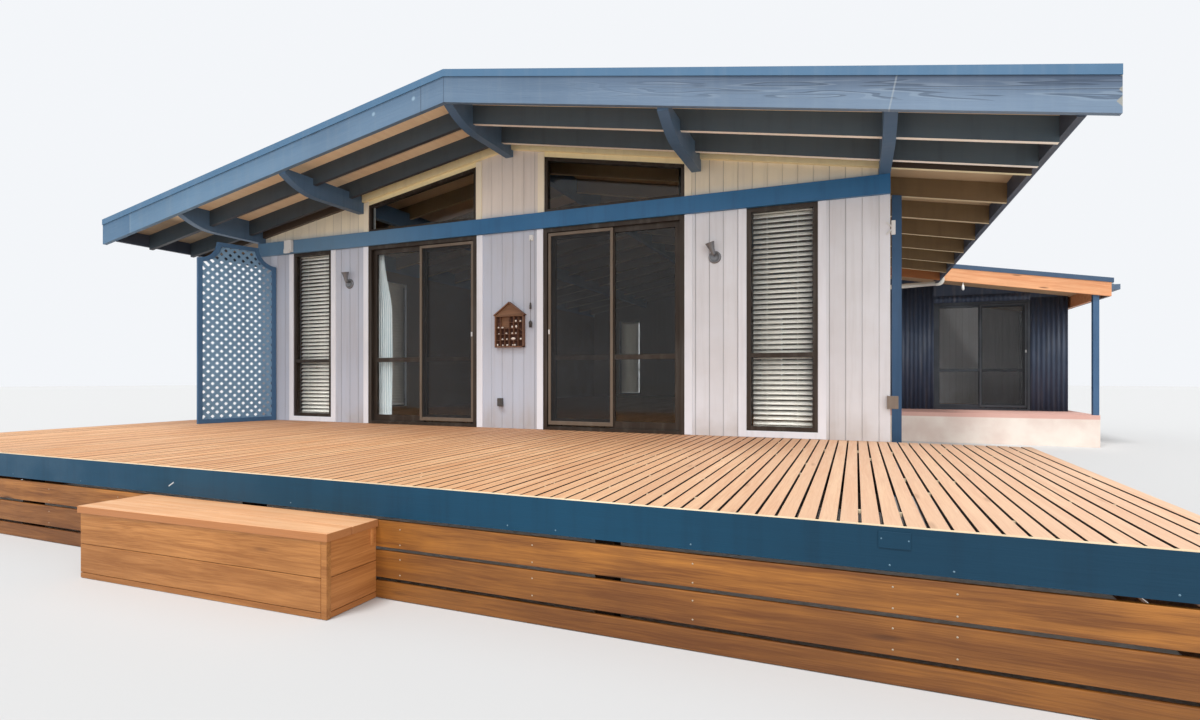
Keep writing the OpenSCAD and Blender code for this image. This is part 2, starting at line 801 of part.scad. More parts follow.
module fixed_pane(w, h)
    panes(w / 2 - lap, w - frame_w, fixed_y, sill_t, h - frame_w, bar_h);

module slider(w, h) {
    sash(slide_x, slide_end(w), slider_y, slide_low, slide_high(h), bar_h);
    rollers(slide_x, slide_end(w), slider_y + sash_t / 2, roller_z);
}

module slider_pane(w, h)
    panes(slide_x, slide_end(w), slider_y, slide_low, slide_high(h), bar_h);

module flyscreen(w, h) {
    x1 = slide_end(w);
    z1 = slide_high(h);
    difference() {
        translate([slide_x, screen_y, slide_low]) cube([x1 - slide_x, screen_t, z1 - slide_low]);
        for (z = [[slide_low + stile_w, bar_h + 235], [bar_h + 275, z1 - stile_w]])
            translate([slide_x + stile_w, screen_y - e, z[0]])
                cube([x1 - slide_x - 2 * stile_w, screen_t + 2 * e, z[1] - z[0]]);
    }
    translate([slide_x + stile_w - e, screen_y + screen_t / 2 - 1, slide_low + stile_w - e])
        cube([x1 - slide_x - 2 * stile_w + 2 * e, 2, z1 - slide_low - 2 * stile_w + 2 * e]);
    translate([slide_x + 15, screen_y - 18, bar_h + 220]) cube([22, 18 + e, 90]);
    rollers(slide_x, x1, screen_y + screen_t / 2, roller_z);
}

module at_right() translate([door_in, 0, deck_h]) children();
module at_left() mirror([1, 0, 0]) at_right() children();
module at_wing() translate([wing_door_x + wing_door_w, wing_y, deck_h + wing_floor])
    mirror([1, 0, 0]) children();

module door_frames() color("darkslategray") {
    at_right() door_frame(door_w, head_h);
    at_left() door_frame(door_w, head_h);
    at_wing() door_frame(wing_door_w, wing_door_h);
}

module fixed_sashes() color("darkslategray") {
    at_right() fixed_sash(door_w, head_h);
    at_left() fixed_sash(door_w, head_h);
    at_wing() fixed_sash(wing_door_w, wing_door_h);
}

module left_slider() color("darkslategray") at_left() slider(door_w, head_h);
module left_slider_pane() color("lightblue", 0.5) at_left() slider_pane(door_w, head_h);
module right_slider() color("darkslategray") at_right() slider(door_w, head_h);
module right_slider_pane() color("lightblue", 0.5) at_right() slider_pane(door_w, head_h);
module wing_slider() color("darkslategray") at_wing() slider(wing_door_w, wing_door_h);
module wing_slider_pane() color("lightblue", 0.5) at_wing() slider_pane(wing_door_w, wing_door_h);
module left_flyscreen() color("dimgray") at_left() flyscreen(door_w, head_h);
module right_flyscreen() color("dimgray") at_right() flyscreen(door_w, head_h);
module wing_flyscreen() color("dimgray") at_wing() flyscreen(wing_door_w, wing_door_h);

// Windows. A tall window is drawn about its middle, facing -Y, from its sill up.

module tall_window(h) {
    w = window_w;
    bar = bar_h - sill_h;
    difference() {
        translate([-w / 2, 0, 0]) cube([w, window_depth, h]);
        translate([-w / 2 + 40, -e, 40]) cube([w - 80, window_depth + 2 * e, bar - 60]);
        translate([-w / 2 + 40, -e, bar + 20]) cube([w - 80, window_depth + 2 * e, h - bar - 60]);
    }
}

module tall_panes(h) {
    w = window_w;
    bar = bar_h - sill_h;
    translate([-w / 2 + 40, 30, 40]) cube([w - 80, pane_t, bar - 60]);
    translate([-w / 2 + 40, 30, bar + 20]) cube([w - 80, pane_t, h - bar - 60]);
}

// The full height windows' places: the two beside the front doors, then the hidden walls
module at_windows() {
    z = deck_h + sill_h;
    for (s = [-1, 1]) translate([s * (window_in + window_w / 2), 0, z]) children();
    for (y = left_windows) translate([-half, y, z]) rotate([0, 0, -90]) children();
    for (x = rear_windows) translate([x, house_d, z]) rotate([0, 0, 180]) children();
}

module at_wing_window() translate([wing_x, wing_window, deck_h + sill_h]) rotate([0, 0, 90]) children();

// The raked window over a front door set, drawn in by inset
function rake_points(inset) = [[rake_in + inset, eave_under + inset],
    [door_out - inset, eave_under + inset],
    [door_out - inset, drop(rake_h, door_out - inset, fall) - inset],
    [rake_in + inset, drop(rake_h, rake_in + inset, fall) - inset]];

module window_frames() color("darkslategray") {
    at_windows() tall_window(window_h);
    at_wing_window() tall_window(wing_window_h);
    both_sides() difference() {
        across(rake_points(0), 0, window_depth);
        across(rake_points(35), -e, window_depth + e);
    }
}

module window_panes() color("lightblue", 0.5) {
    at_right() fixed_pane(door_w, head_h);
    at_left() fixed_pane(door_w, head_h);
    at_wing() fixed_pane(wing_door_w, wing_door_h);
    at_windows() tall_panes(window_h);
    at_wing_window() tall_panes(wing_window_h);
    both_sides() across(rake_points(35), 30, 30 + pane_t);
}

module blinds() color("white") for (s = [-1, 1])
    translate([s * (window_in + window_w / 2) - (window_w - 90) / 2, window_depth + 3, deck_h + sill_h + 20])
        cube([window_w - 90, 35, window_h - 20]);

// The track that the left doors' curtain hangs from, on the inner face of the head beam
module curtain_track() color("white")
    block([-door_out - 30, wall_t, track_z], [30 - door_in, wall_t + 44, track_z + 30]);

// The curtain, drawn together at the left in folds
module curtain() color("lightcyan") {
    steps = 24;
    folds = [for (i = [0:steps])
        [curtain_x + curtain_w * i / steps, curtain_y + 12 * sin(360 * 5 * i / steps)]];
    translate([0, 0, deck_h + 20]) linear_extrude(track_z - 20)
        polygon(concat(folds, [for (i = [steps:-1:0]) folds[i] + [0, 5]]));
}

house_base();
main_floor();
wing_slab();
front_wall();
gable_rakes();
head_beam();
blue_posts();
side_walls();
rear_wall();
wing_front_wall();
wing_side_wall();
wall_infills();
wing_infills();
roof_beams();
front_rafters();
roof_rafters();
roof_panels();
roof_sheets();
ridge_cap();
barge_boards();
roof_caps();
side_fascias();
gutters();
porch_timbers();
downpipe();
deck_floor();
deck_bearers();
deck_stumps();
deck_band();
deck_skirt();
step_top();
step_box();
lattice_screen();
wall_lights();
letter_shelf();
wall_fittings();
door_frames();
fixed_sashes();
left_slider();
left_slider_pane();
right_slider();
right_slider_pane();
wing_slider();
wing_slider_pane();
left_flyscreen();
right_flyscreen();
wing_flyscreen();
window_frames();
window_panes();
blinds();
curtain_track();
curtain();
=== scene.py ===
# %% [markdown]
# A timber beach house: a white gabled house with blue beams on a raised deck, and a lower dark
# wing behind it on the right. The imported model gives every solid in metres, in one shared frame:
# X runs right, Y runs back from the front wall, and Z runs up from the ground. Here it is dressed.
# Shapes that the solids draw well keep their mesh and get a finish. Shapes that are too plain as
# solids, such as corrugated metal, boards, slats and laths, are worked out again as surfaces.

# %% Load the frame
import math

import bpy
import numpy as np
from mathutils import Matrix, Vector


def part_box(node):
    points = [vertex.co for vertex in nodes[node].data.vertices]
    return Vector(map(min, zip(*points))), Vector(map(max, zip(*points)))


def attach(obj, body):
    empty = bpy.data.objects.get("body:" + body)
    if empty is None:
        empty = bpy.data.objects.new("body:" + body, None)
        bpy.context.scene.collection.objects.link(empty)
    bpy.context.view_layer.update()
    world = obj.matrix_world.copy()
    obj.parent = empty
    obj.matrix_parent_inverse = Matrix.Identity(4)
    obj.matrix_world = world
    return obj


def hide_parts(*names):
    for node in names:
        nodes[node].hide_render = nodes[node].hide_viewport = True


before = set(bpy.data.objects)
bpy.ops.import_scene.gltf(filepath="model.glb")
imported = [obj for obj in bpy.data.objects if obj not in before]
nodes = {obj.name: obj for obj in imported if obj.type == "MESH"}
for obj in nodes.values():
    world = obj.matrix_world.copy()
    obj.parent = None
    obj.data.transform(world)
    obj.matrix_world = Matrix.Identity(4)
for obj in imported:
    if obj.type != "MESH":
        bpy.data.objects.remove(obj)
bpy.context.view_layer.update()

# %% [markdown]
# The few sizes that more than one piece needs are named once, in metres, and repeat the solids'.
# Both roof planes fall from the ridge line, so a height on them is a height at the ridge less the
# fall times the distance from it. Colours are read in steps of 255 and turned into linear light.

# %% Sizes and colours
DECK = 0.6
HALF = 3.705
FALL, WING_FALL = math.tan(math.radians(10.2)), math.tan(math.radians(9.4))
RIDGE = DECK + 3.2726
HEAD = DECK + 2.1
BEAM_TOP = DECK + 2.265
PORCH = 6.6
WING_Y, WING_X, WING_FLOOR = 7.8, 6.97, DECK - 0.077
rng = np.random.default_rng(7)


def rgb(red, green, blue):
    """Linear colour: each part is c/12.92 below 0.04045, and otherwise ((c + 0.055) / 1.055) to
    the power 2.4."""
    c = np.array([red, green, blue]) / 255
    return (*np.where(c < 0.04045, c / 12.92, ((c + 0.055) / 1.055) ** 2.4).tolist(), 1.0)


def shade(colour, factor):
    """The colour with each part times factor, held at 1."""
    return (*[min(1.0, c * factor) for c in colour[:3]], 1.0)


# %% [markdown]
# The camera stands before the right end of the deck, a little over a metre up, and looks level
# and to the left, so upright edges stay parallel. A small shift keeps the framing.
# The place and the lens come from lines of known direction on the house.

# %% Camera
WIDE, HIGH, FOCAL, HORIZON = 1200, 720, 624.426, 376.425
camera = bpy.data.objects.new("camera", bpy.data.cameras.new("camera"))
bpy.context.scene.collection.objects.link(camera)
camera.location = (3.4355, -5.8264, 1.1555)
camera.rotation_euler = (math.radians(90), 0, math.radians(22.286))
camera.data.lens = 36 * FOCAL / WIDE
camera.data.shift_y = (HORIZON - HIGH / 2) / WIDE
camera.data.clip_end = 200
bpy.context.scene.camera = camera
print("lens", round(camera.data.lens, 2))

# %% [markdown]
# Finishes are node trees. Each value that runs between two nodes is held as a Wire, so that a
# sum of nodes is written as a sum in Python and stays readable. The helpers add to the tree at
# hand: one adds a node and fills its sockets in order, one mixes two colours, one lays coats of
# colour over each other, one builds a reusable group and one places it. Patterns follow Object
# coordinates, which are metres here, so a board is as wide as a real one.

# %% Node helpers
tree = None


class Wire:
    """A node's output. + - * / and abs() make Math nodes, and a | b is the greater of the two."""

    def __init__(self, socket):
        self.socket = socket

    def __abs__(self):
        return calc("ABSOLUTE", self)


for sign, operation in (("add", "ADD"), ("sub", "SUBTRACT"), ("mul", "MULTIPLY"), ("truediv", "DIVIDE"),
                        ("or", "MAXIMUM")):
    setattr(Wire, f"__{sign}__", lambda a, b, kind=operation: calc(kind, a, b))
    setattr(Wire, f"__r{sign}__", lambda a, b, kind=operation: calc(kind, b, a))


def plug(value, socket):
    """Links a wire to a socket, or sets a plain value on it. None leaves it alone."""
    if isinstance(value, Wire):
        tree.links.new(value.socket, socket)
    elif value is not None:
        socket.default_value = value


def add(kind, *inputs, out=0, **settings):
    """A shader node of that kind, with its sockets linked or set in order."""
    node = tree.nodes.new("ShaderNode" + kind)
    for key, value in settings.items():
        setattr(node, key, value)
    for socket, value in zip(node.inputs, inputs):
        plug(value, socket)
    return Wire(node.outputs[out])


def calc(kind, *inputs):
    """One step of arithmetic."""
    return add("Math", *inputs, operation=kind)


def ramp(value, low, high, start=0.0, end=1.0):
    """start below low, end above high, and a smooth step between."""
    return add("MapRange", value, low, high, start, end, interpolation_type="SMOOTHSTEP")


def spread(value, start, end):
    """start where the value is 0, end where it is 1."""
    return ramp(value, 0.0, 1.0, start, end)


def below(value, low, high, most=1.0):
    """most below low and 0 above high."""
    return ramp(value, low, high, most, 0.0)


def within(value, low, high, soft=0.002):
    """1 from low to high and 0 outside, with a soft edge."""
    return ramp(value, low - soft, low) * below(value, high, high + soft)


def mix(share, first, second, blend="MIX"):
    """The first colour, turned by share towards the second."""
    node = tree.nodes.new("ShaderNodeMix")
    node.data_type, node.blend_type = "RGBA", blend
    for index, value in ((0, share), (6, first), (7, second)):
        plug(value, node.inputs[index])
    return Wire(node.outputs[2])


def layers(tint, *coats):
    """The colour under coats of (share, colour), each mixed over what is there."""
    for share, colour in coats:
        tint = mix(share, tint, colour)
    return tint


def split(vector):
    """The three parts of a vector."""
    return [Wire(part) for part in add("SeparateXYZ", vector).socket.node.outputs]


def distance(*parts):
    """How long the vector of those parts is."""
    return add("VectorMath", add("CombineXYZ", *parts), operation="LENGTH", out=1)


def stretch(vector, x, y, z):
    """The vector with its parts times x, y and z."""
    return add("VectorMath", vector, (x, y, z), operation="MULTIPLY")


def make_group(name, inputs, work):
    """A node group. work takes its inputs as wires and gives its outputs by label. An input
    called Vector is a vector, and the rest are numbers."""
    global tree
    tree = bpy.data.node_groups.new(name, "ShaderNodeTree")
    for label in inputs:
        kind = "NodeSocketVector" if label == "Vector" else "NodeSocketFloat"
        tree.interface.new_socket(label, in_out="INPUT", socket_type=kind)
    given = tree.nodes.new("NodeGroupInput").outputs
    results = work(*[Wire(given[label]) for label in inputs])
    for label in results:
        tree.interface.new_socket(label, in_out="OUTPUT", socket_type="NodeSocketFloat")
    ends = tree.nodes.new("NodeGroupOutput").inputs
    for label, wire in results.items():
        plug(wire, ends[label])
    print("group", name, list(results))
    return tree


def use(group, **values):
    """The group placed in the tree, its inputs linked or set by name."""
    node = tree.nodes.new("ShaderNodeGroup")
    node.node_tree = group
    for label, value in values.items():
        plug(value, node.inputs[label.replace("_", " ")])
    return {socket.name: Wire(socket) for socket in node.outputs}


# %% [markdown]
# Soft daylight as in a studio: one broad lamp from the front left, a weak one from the right and
# an even world around them. The lamps are suns with a wide angle, because they light a whole house
# evenly and give soft edges to its shadows. What the camera, gloss and glass see of the world is
# near white, which adds no light to the walls.

# %% Light and floor
def lamp(name, strength, angle, turn, tilt):
    """A broad sun: tilt degrees down from overhead, turned from the front."""
    data = bpy.data.lights.new(name, "SUN")
    data.energy, data.angle = strength, math.radians(angle)
    sun = bpy.data.objects.new(name, data)
    sun.rotation_euler = (math.radians(tilt), 0, math.radians(turn))
    bpy.context.scene.collection.objects.link(sun)


lamp("key", 2.2, 16, -18, 27)
lamp("fill", 1.25, 70, 40, 72)

world = bpy.data.worlds.new("studio")
bpy.context.scene.world = world
world.use_nodes = True
tree = world.node_tree
tree.nodes.clear()
rays = add("LightPath").socket.node.outputs
seen = Wire(rays["Is Camera Ray"]) | Wire(rays["Is Glossy Ray"]) | Wire(rays["Is Transmission Ray"])
sky = add("Background", (0.90, 0.92, 0.95, 1), add("MapRange", seen, 0.0, 1.0, 0.68, 1.0))
plug(sky, tree.nodes.new("ShaderNodeOutputWorld").inputs["Surface"])

FLOOR_RADIUS, FLOOR_SIDES = 90, 96
ring = np.linspace(0, 2 * np.pi, FLOOR_SIDES, endpoint=False)
rim = np.column_stack([FLOOR_RADIUS * np.cos(ring), FLOOR_RADIUS * np.sin(ring) + 4, 0 * ring - 0.001])
floor_mesh = bpy.data.meshes.new("floor")
floor_mesh.from_pydata(rim.tolist(), [], [list(range(FLOOR_SIDES))])
floor = bpy.data.objects.new("floor", floor_mesh)
bpy.context.scene.collection.objects.link(floor)
plain = bpy.data.materials.new("studio_floor")
plain.use_nodes = True
plain.node_tree.nodes["Principled BSDF"].inputs["Base Color"].default_value = (0.62, 0.62, 0.615, 1)
plain.node_tree.nodes["Principled BSDF"].inputs["Roughness"].default_value = 0.9
floor_mesh.materials.append(plain)
bpy.context.scene.view_settings.view_transform = "Standard"
print("lamps", len(bpy.data.lights))

# %% [markdown]
# Four effects come back on many surfaces. Grain is noise stretched along the board, with knots
# where a sparse cell pattern comes close to its points. Joints are the dark lines between boards,
# with one random tone for each board. Weather is blotches, rain streaks and small chips. Nails
# are dots on a grid. Each is one group, and every finish places it with its own values.

# %% Groups
def noise(vector, scale, detail, rough, out=0):
    """Soft noise, about 0.5 on average."""
    return add("TexNoise", vector, None, scale, detail, rough, out=out)


def plank_grain(vector, seed, fineness):
    """Broad and thin figure along x, bent a little, and eyes of knots."""
    moved = add("VectorMath", vector, add("CombineXYZ", seed * 37.0, seed * 11.0, seed * 5.0), operation="ADD")
    bend = stretch(noise(stretch(moved, 1.6, 5, 5), 1.0, 2.0, 0.5, out=1), 0.02, 0.035, 0.035)
    bent = add("VectorMath", moved, bend, operation="ADD")
    broad = noise(stretch(bent, 1.1, 20, 20), 1.0, 3.0, 0.6)
    thin = noise(stretch(bent, 4, 130, 130), fineness, 3.0, 0.6)
    figure = ramp(broad, 0.32, 0.68) * 0.65 + ramp(thin, 0.35, 0.65) * 0.35
    eye = below(add("TexVoronoi", stretch(bent, 1.3, 6.5, 6.5), None, 1.0), 0.03, 0.13)
    return {"Figure": figure, "Knot": eye, "Height": figure - eye}


def board_joints(across, pitch, gap):
    """Lines a gap wide at every pitch, and a random tone for the board between two lines."""
    count = across / pitch
    inside = calc("FRACT", count)
    near = calc("MINIMUM", inside, 1.0 - inside) * pitch
    half_gap = gap * 0.5
    line = below(near, half_gap * 0.6, half_gap * 1.5)
    tone = add("TexWhiteNoise", None, calc("FLOOR", count), noise_dimensions="1D")
    return {"Joint": line, "Tone": tone, "Height": 1.0 - line}


def weathering(vector, size, chipping):
    """Blotches, upright streaks, and chips where fine and broad noise are both high."""
    blotch = noise(vector, size, 4.0, 0.55)
    streak = noise(stretch(vector, 14, 14, 0.9), 1.0, 4.0, 0.6)
    speck = noise(vector, 38.0, 3.0, 0.6)
    bound = 0.86 - chipping * 0.25
    chip = ramp(speck * 0.7 + blotch * 0.4, bound, bound + 0.02)
    return {"Blotch": ramp(blotch, 0.3, 0.7), "Streak": ramp(streak, 0.45, 0.75), "Chip": chip,
            "Height": speck * 0.3 - chip}


def nail_heads(u, v, pitch_u, pitch_v, radius):
    """A round dot in the middle of every cell of a grid."""
    off = [(calc("FRACT", along / pitch) - 0.5) * pitch for along, pitch in ((u, pitch_u), (v, pitch_v))]
    return {"Dot": below(distance(*off), radius * 0.75, radius)}


grain = make_group("plank_grain", ["Vector", "Seed", "Fineness"], plank_grain)
joints = make_group("board_joints", ["Across", "Pitch", "Gap"], board_joints)
weather = make_group("weather", ["Vector", "Size", "Chipping"], weathering)
nails = make_group("nail_heads", ["U", "V", "Pitch U", "Pitch V", "Radius"], nail_heads)

# %% [markdown]
# Most surfaces of the house are one of three things: painted timber, bare or oiled timber, or
# metal. Each gets a builder that takes the colours and the way the boards run. place() turns the
# coordinates so that x runs along the board, and lays them flat under a falling roof. Where one
# place of a surface differs, a patch gives a mask from x, y and z, and the colour there.

# %% Finish builders
def start(name, **plain_values):
    """A new material at hand, with plain values on its shader's own sockets."""
    global tree, material
    material = bpy.data.materials.new(name)
    material.use_nodes = True
    tree = material.node_tree
    for label, value in plain_values.items():
        plug(value, tree.nodes["Principled BSDF"].inputs[label.replace("_", " ")])


def upright():
    """Plain object coordinates, z up."""
    return add("TexCoord", out=3)


def facing_up():
    """How far a face looks up: 1 for a top, -1 for an underside."""
    return split(add("TexCoord", out=1))[2]


def board_tone():
    """The tone that each board of a piece carries."""
    return add("Attribute", out=2, attribute_name="tone")


def place(along="X", fall=0.0):
    """Object coordinates turned so that x runs along the board; fall levels a sloping one."""
    x, y, z = split(upright())
    if fall:
        z = z + abs(x) * fall
    return add("CombineXYZ", *{"X": (x, y, z), "Y": (y, x, z), "Z": (z, x, y)}[along])


def planks(along="X", fall=0.0, seed=0.3, fineness=1.0):
    """The grain group, laid along the boards."""
    return use(grain, Vector=place(along, fall), Seed=seed, Fineness=fineness)


def wear_of(size, chipping=0.0):
    """The weather group, upright."""
    return use(weather, Vector=upright(), Size=size, Chipping=chipping)


def patched(tint, patch):
    """The colour with the patch's colour where its mask is."""
    return mix(patch[0](*split(upright())), tint, patch[1]) if patch else tint


def connect(colour, roughness=None, height=None, relief=0.001, alpha=None):
    """The material at hand, with its finish linked; relief is the bump's real depth in metres."""
    sockets = tree.nodes["Principled BSDF"].inputs
    for value, label in ((colour, "Base Color"), (roughness, "Roughness"), (alpha, "Alpha")):
        plug(value, sockets[label])
    if height is not None:
        bump = tree.nodes.new("ShaderNodeBump")
        for label, value in (("Strength", 1.0), ("Distance", relief), ("Height", height)):
            plug(value, bump.inputs[label])
        tree.links.new(bump.outputs[0], sockets["Normal"])
    return material


def paint(name, colour, dirt, along="X", fall=0.0, rough=0.45, blotches=0.35, streaks=0.25,
          chipping=0.0, bare=None, under=None, painted_light_ramp=None, patch=None, **plain_values):
    """Painted timber: the colour with blotches, rain streaks in the dirt's colour and chips down to bare wood.
    under is the colour on faces that look down: paint on the rafters, painted shade on the roof beams. The ramp
    along x gives two x and the factor on the colour at each, as painted light and shade."""
    start(name, **plain_values)
    wear, wood = wear_of(1.7, chipping), planks(along, fall)
    tint = layers(colour, (wear["Blotch"] * blotches, shade(colour, 0.72)), (wear["Streak"] * streaks, dirt),
                  (wood["Figure"] * 0.12, shade(colour, 1.35)))
    if chipping:
        tint = mix(wear["Chip"], tint, bare)
    if under:
        tint = mix(below(facing_up(), -0.9, -0.7), tint, under)
    # Painted light and shade: the colour times a factor that changes along x.
    if painted_light_ramp:
        factor = ramp(split(upright())[0], *painted_light_ramp)
        tint = mix(1.0, tint, add("CombineXYZ", factor, factor, factor), "MULTIPLY")
    return connect(patched(tint, patch), spread(wear["Blotch"], rough, rough + 0.18),
                   wear["Height"] + wood["Height"] * 0.35, 0.0012)


def timber(name, light, dark, along="X", fall=0.0, rough=0.6, weathered=0.2, grey=None, toned=False,
           edge=None, damp=0.0, **plain_values):
    """Bare or oiled timber: grain from light to dark, knots, and weathered patches. toned is for a piece that
    carries a tone for each of its boards. edge is the colour of all faces but the tops, and damp darkens the
    lowest 400 mm: wet wood there, and painted shade near the ground."""
    start(name, **plain_values)
    board = board_tone() if toned else 0.4
    wood, wear = planks(along, fall, board), wear_of(2.3)
    tint = mix(wood["Figure"], light, dark)
    if toned:
        tint = mix(spread(board, 0.0, 0.55), tint, mix(0.5, tint, dark))
    tint = layers(tint, (wear["Blotch"] * weathered, grey or shade(light, 0.55)),
                  (wood["Knot"] * 0.85, shade(dark, 0.35)))
    if edge:
        tint = mix(below(facing_up(), 0.5, 0.7, 0.95), tint, edge)
    # Darker near the ground: wet wood, and painted shade.
    if damp:
        tint = mix(below(split(upright())[2], 0.04, 0.42, damp), tint, shade(dark, 0.6))
    return connect(tint, spread(wood["Figure"], rough, rough + 0.15), wood["Height"], 0.0012)


def metal_paint(name, colour, rough=0.35, metallic=0.0, dust=0.3, patch=None):
    """Coated or bare metal: a flat coat with dust, faint streaks and small dents."""
    start(name, Metallic=metallic)
    wear = wear_of(3.1)
    tint = layers(colour, (wear["Blotch"] * dust, shade(colour, 0.7)),
                  (wear["Streak"] * dust, mix(0.35, colour, rgb(190, 185, 175))))
    return connect(patched(tint, patch), spread(wear["Blotch"], rough, rough + 0.2), wear["Height"], 0.0005)


dressed = set()


def dress(material, *names):
    """Gives those solids the material, on their objects' own slots."""
    for name in names:
        solid = nodes[name]
        if not solid.material_slots:
            solid.data.materials.append(material)
        for slot in solid.material_slots:
            slot.link = "OBJECT"
            slot.material = material
        dressed.add(name)


# %% [markdown]
# The walls are white boards that stand upright, 132 mm wide, with a V groove at each joint. A groove is a few
# millimetres deep, so it is drawn with the joints group, in colour and in relief, and some have opened more than
# others. The wall is drawn darker and bluer towards the left as painted shade, and cream above the head beam as
# painted warm light from the lining, so its colour changes along the wall and with height. Inside, the same walls
# are drawn dark brown as painted shade, so that the rooms stay dark behind glass.

# %% White boarded walls
BOARD, GROOVE = 0.1325, 0.007


def boarded(name, across, offset):
    """Upright painted boards. across is the axis that counts them; offset moves the first joint."""
    start(name)
    x, y, z = split(upright())
    lines = use(joints, Across=(x if across == "X" else y) + offset, Pitch=BOARD, Gap=GROOVE)
    wear, wood = wear_of(1.4), planks("Z", seed=lines["Tone"])
    pier = within(x, -1.95, 1.95) * below(y, 1.0, 2.0)
    splash = below(z, DECK, DECK + 0.35) * wear["Blotch"]
    opened = lines["Joint"] * spread(lines["Tone"], 0.05, 0.6) * ramp(abs(x), 0.45, 0.6, 0.5, 1.0)
    painted_room_shade = within(y, 0.104, 10.896) * below(abs(x), 3.598, 3.6)
    # Painted light and shade: the left is darker and bluer, above the head beam the wall is warm cream, and
    # inside the rooms it is dark brown.
    tint = layers(
        rgb(190, 197, 212), (ramp(x, 0.4, 2.2), rgb(232, 234, 240)),
        (ramp(z, BEAM_TOP - 0.1, BEAM_TOP + 0.1), mix(pier, rgb(240, 228, 200), rgb(232, 222, 212))),
        (lines["Tone"] * 0.16, rgb(176, 172, 176)), (wear["Blotch"] * 0.22, rgb(185, 178, 172)),
        (wear["Streak"] * 0.16, rgb(150, 140, 128)), (splash * 0.45, rgb(160, 140, 118)),
        (opened, rgb(92, 90, 98)), (painted_room_shade, rgb(112, 86, 60)))
    return connect(tint, spread(wear["Blotch"], 0.4, 0.58), lines["Height"] + wood["Height"] * 0.06, 0.004)


dress(boarded("white_boards_front", "X", 0.0925), "front_wall", "rear_wall", "wall_infills")
dress(boarded("white_boards_side", "Y", 0.03), "side_walls")

# The rake boards left of the raked windows, and their undersides at the right overhang, are drawn dark: painted
# shadow under the rafters.
shaded_rake = (lambda x, y, z: ramp(x, 3.70, 3.71) * ramp(facing_up(), -0.9, -0.7) | below(x, -1.99, -1.98),
             rgb(70, 58, 48))
dress(paint("gable_cream", rgb(240, 226, 182), rgb(160, 138, 104), fall=FALL, blotches=0.2, streaks=0.15,
            patch=shaded_rake), "gable_rakes")
print("walls dressed", len(dressed))

# %% [markdown]
# The beams, posts and barge boards are solid timber in a strong blue. The paint is blotchy, the head beam is
# paler and greyer towards its left part, the roof beams' undersides are drawn darker as painted shade, and the
# long barge boards have lost paint at their ends, so each place has its own blue and its own amount of wear.

# %% Blue timber
dress(paint("head_beam_blue", rgb(38, 102, 150), rgb(26, 56, 84), rough=0.34, blotches=0.3,
            patch=(lambda x, y, z: below(x, -2.6, -0.1, 0.52), rgb(122, 150, 168))), "head_beam")
# The roof beams' undersides are drawn darker: painted shade.
dress(paint("beam_blue", rgb(82, 110, 138), rgb(34, 54, 76), along="Y", rough=0.42, blotches=0.4,
            under=rgb(70, 98, 126)), "roof_beams")
dress(paint("post_blue", rgb(58, 94, 130), rgb(28, 48, 70), along="Z", rough=0.45), "blue_posts")


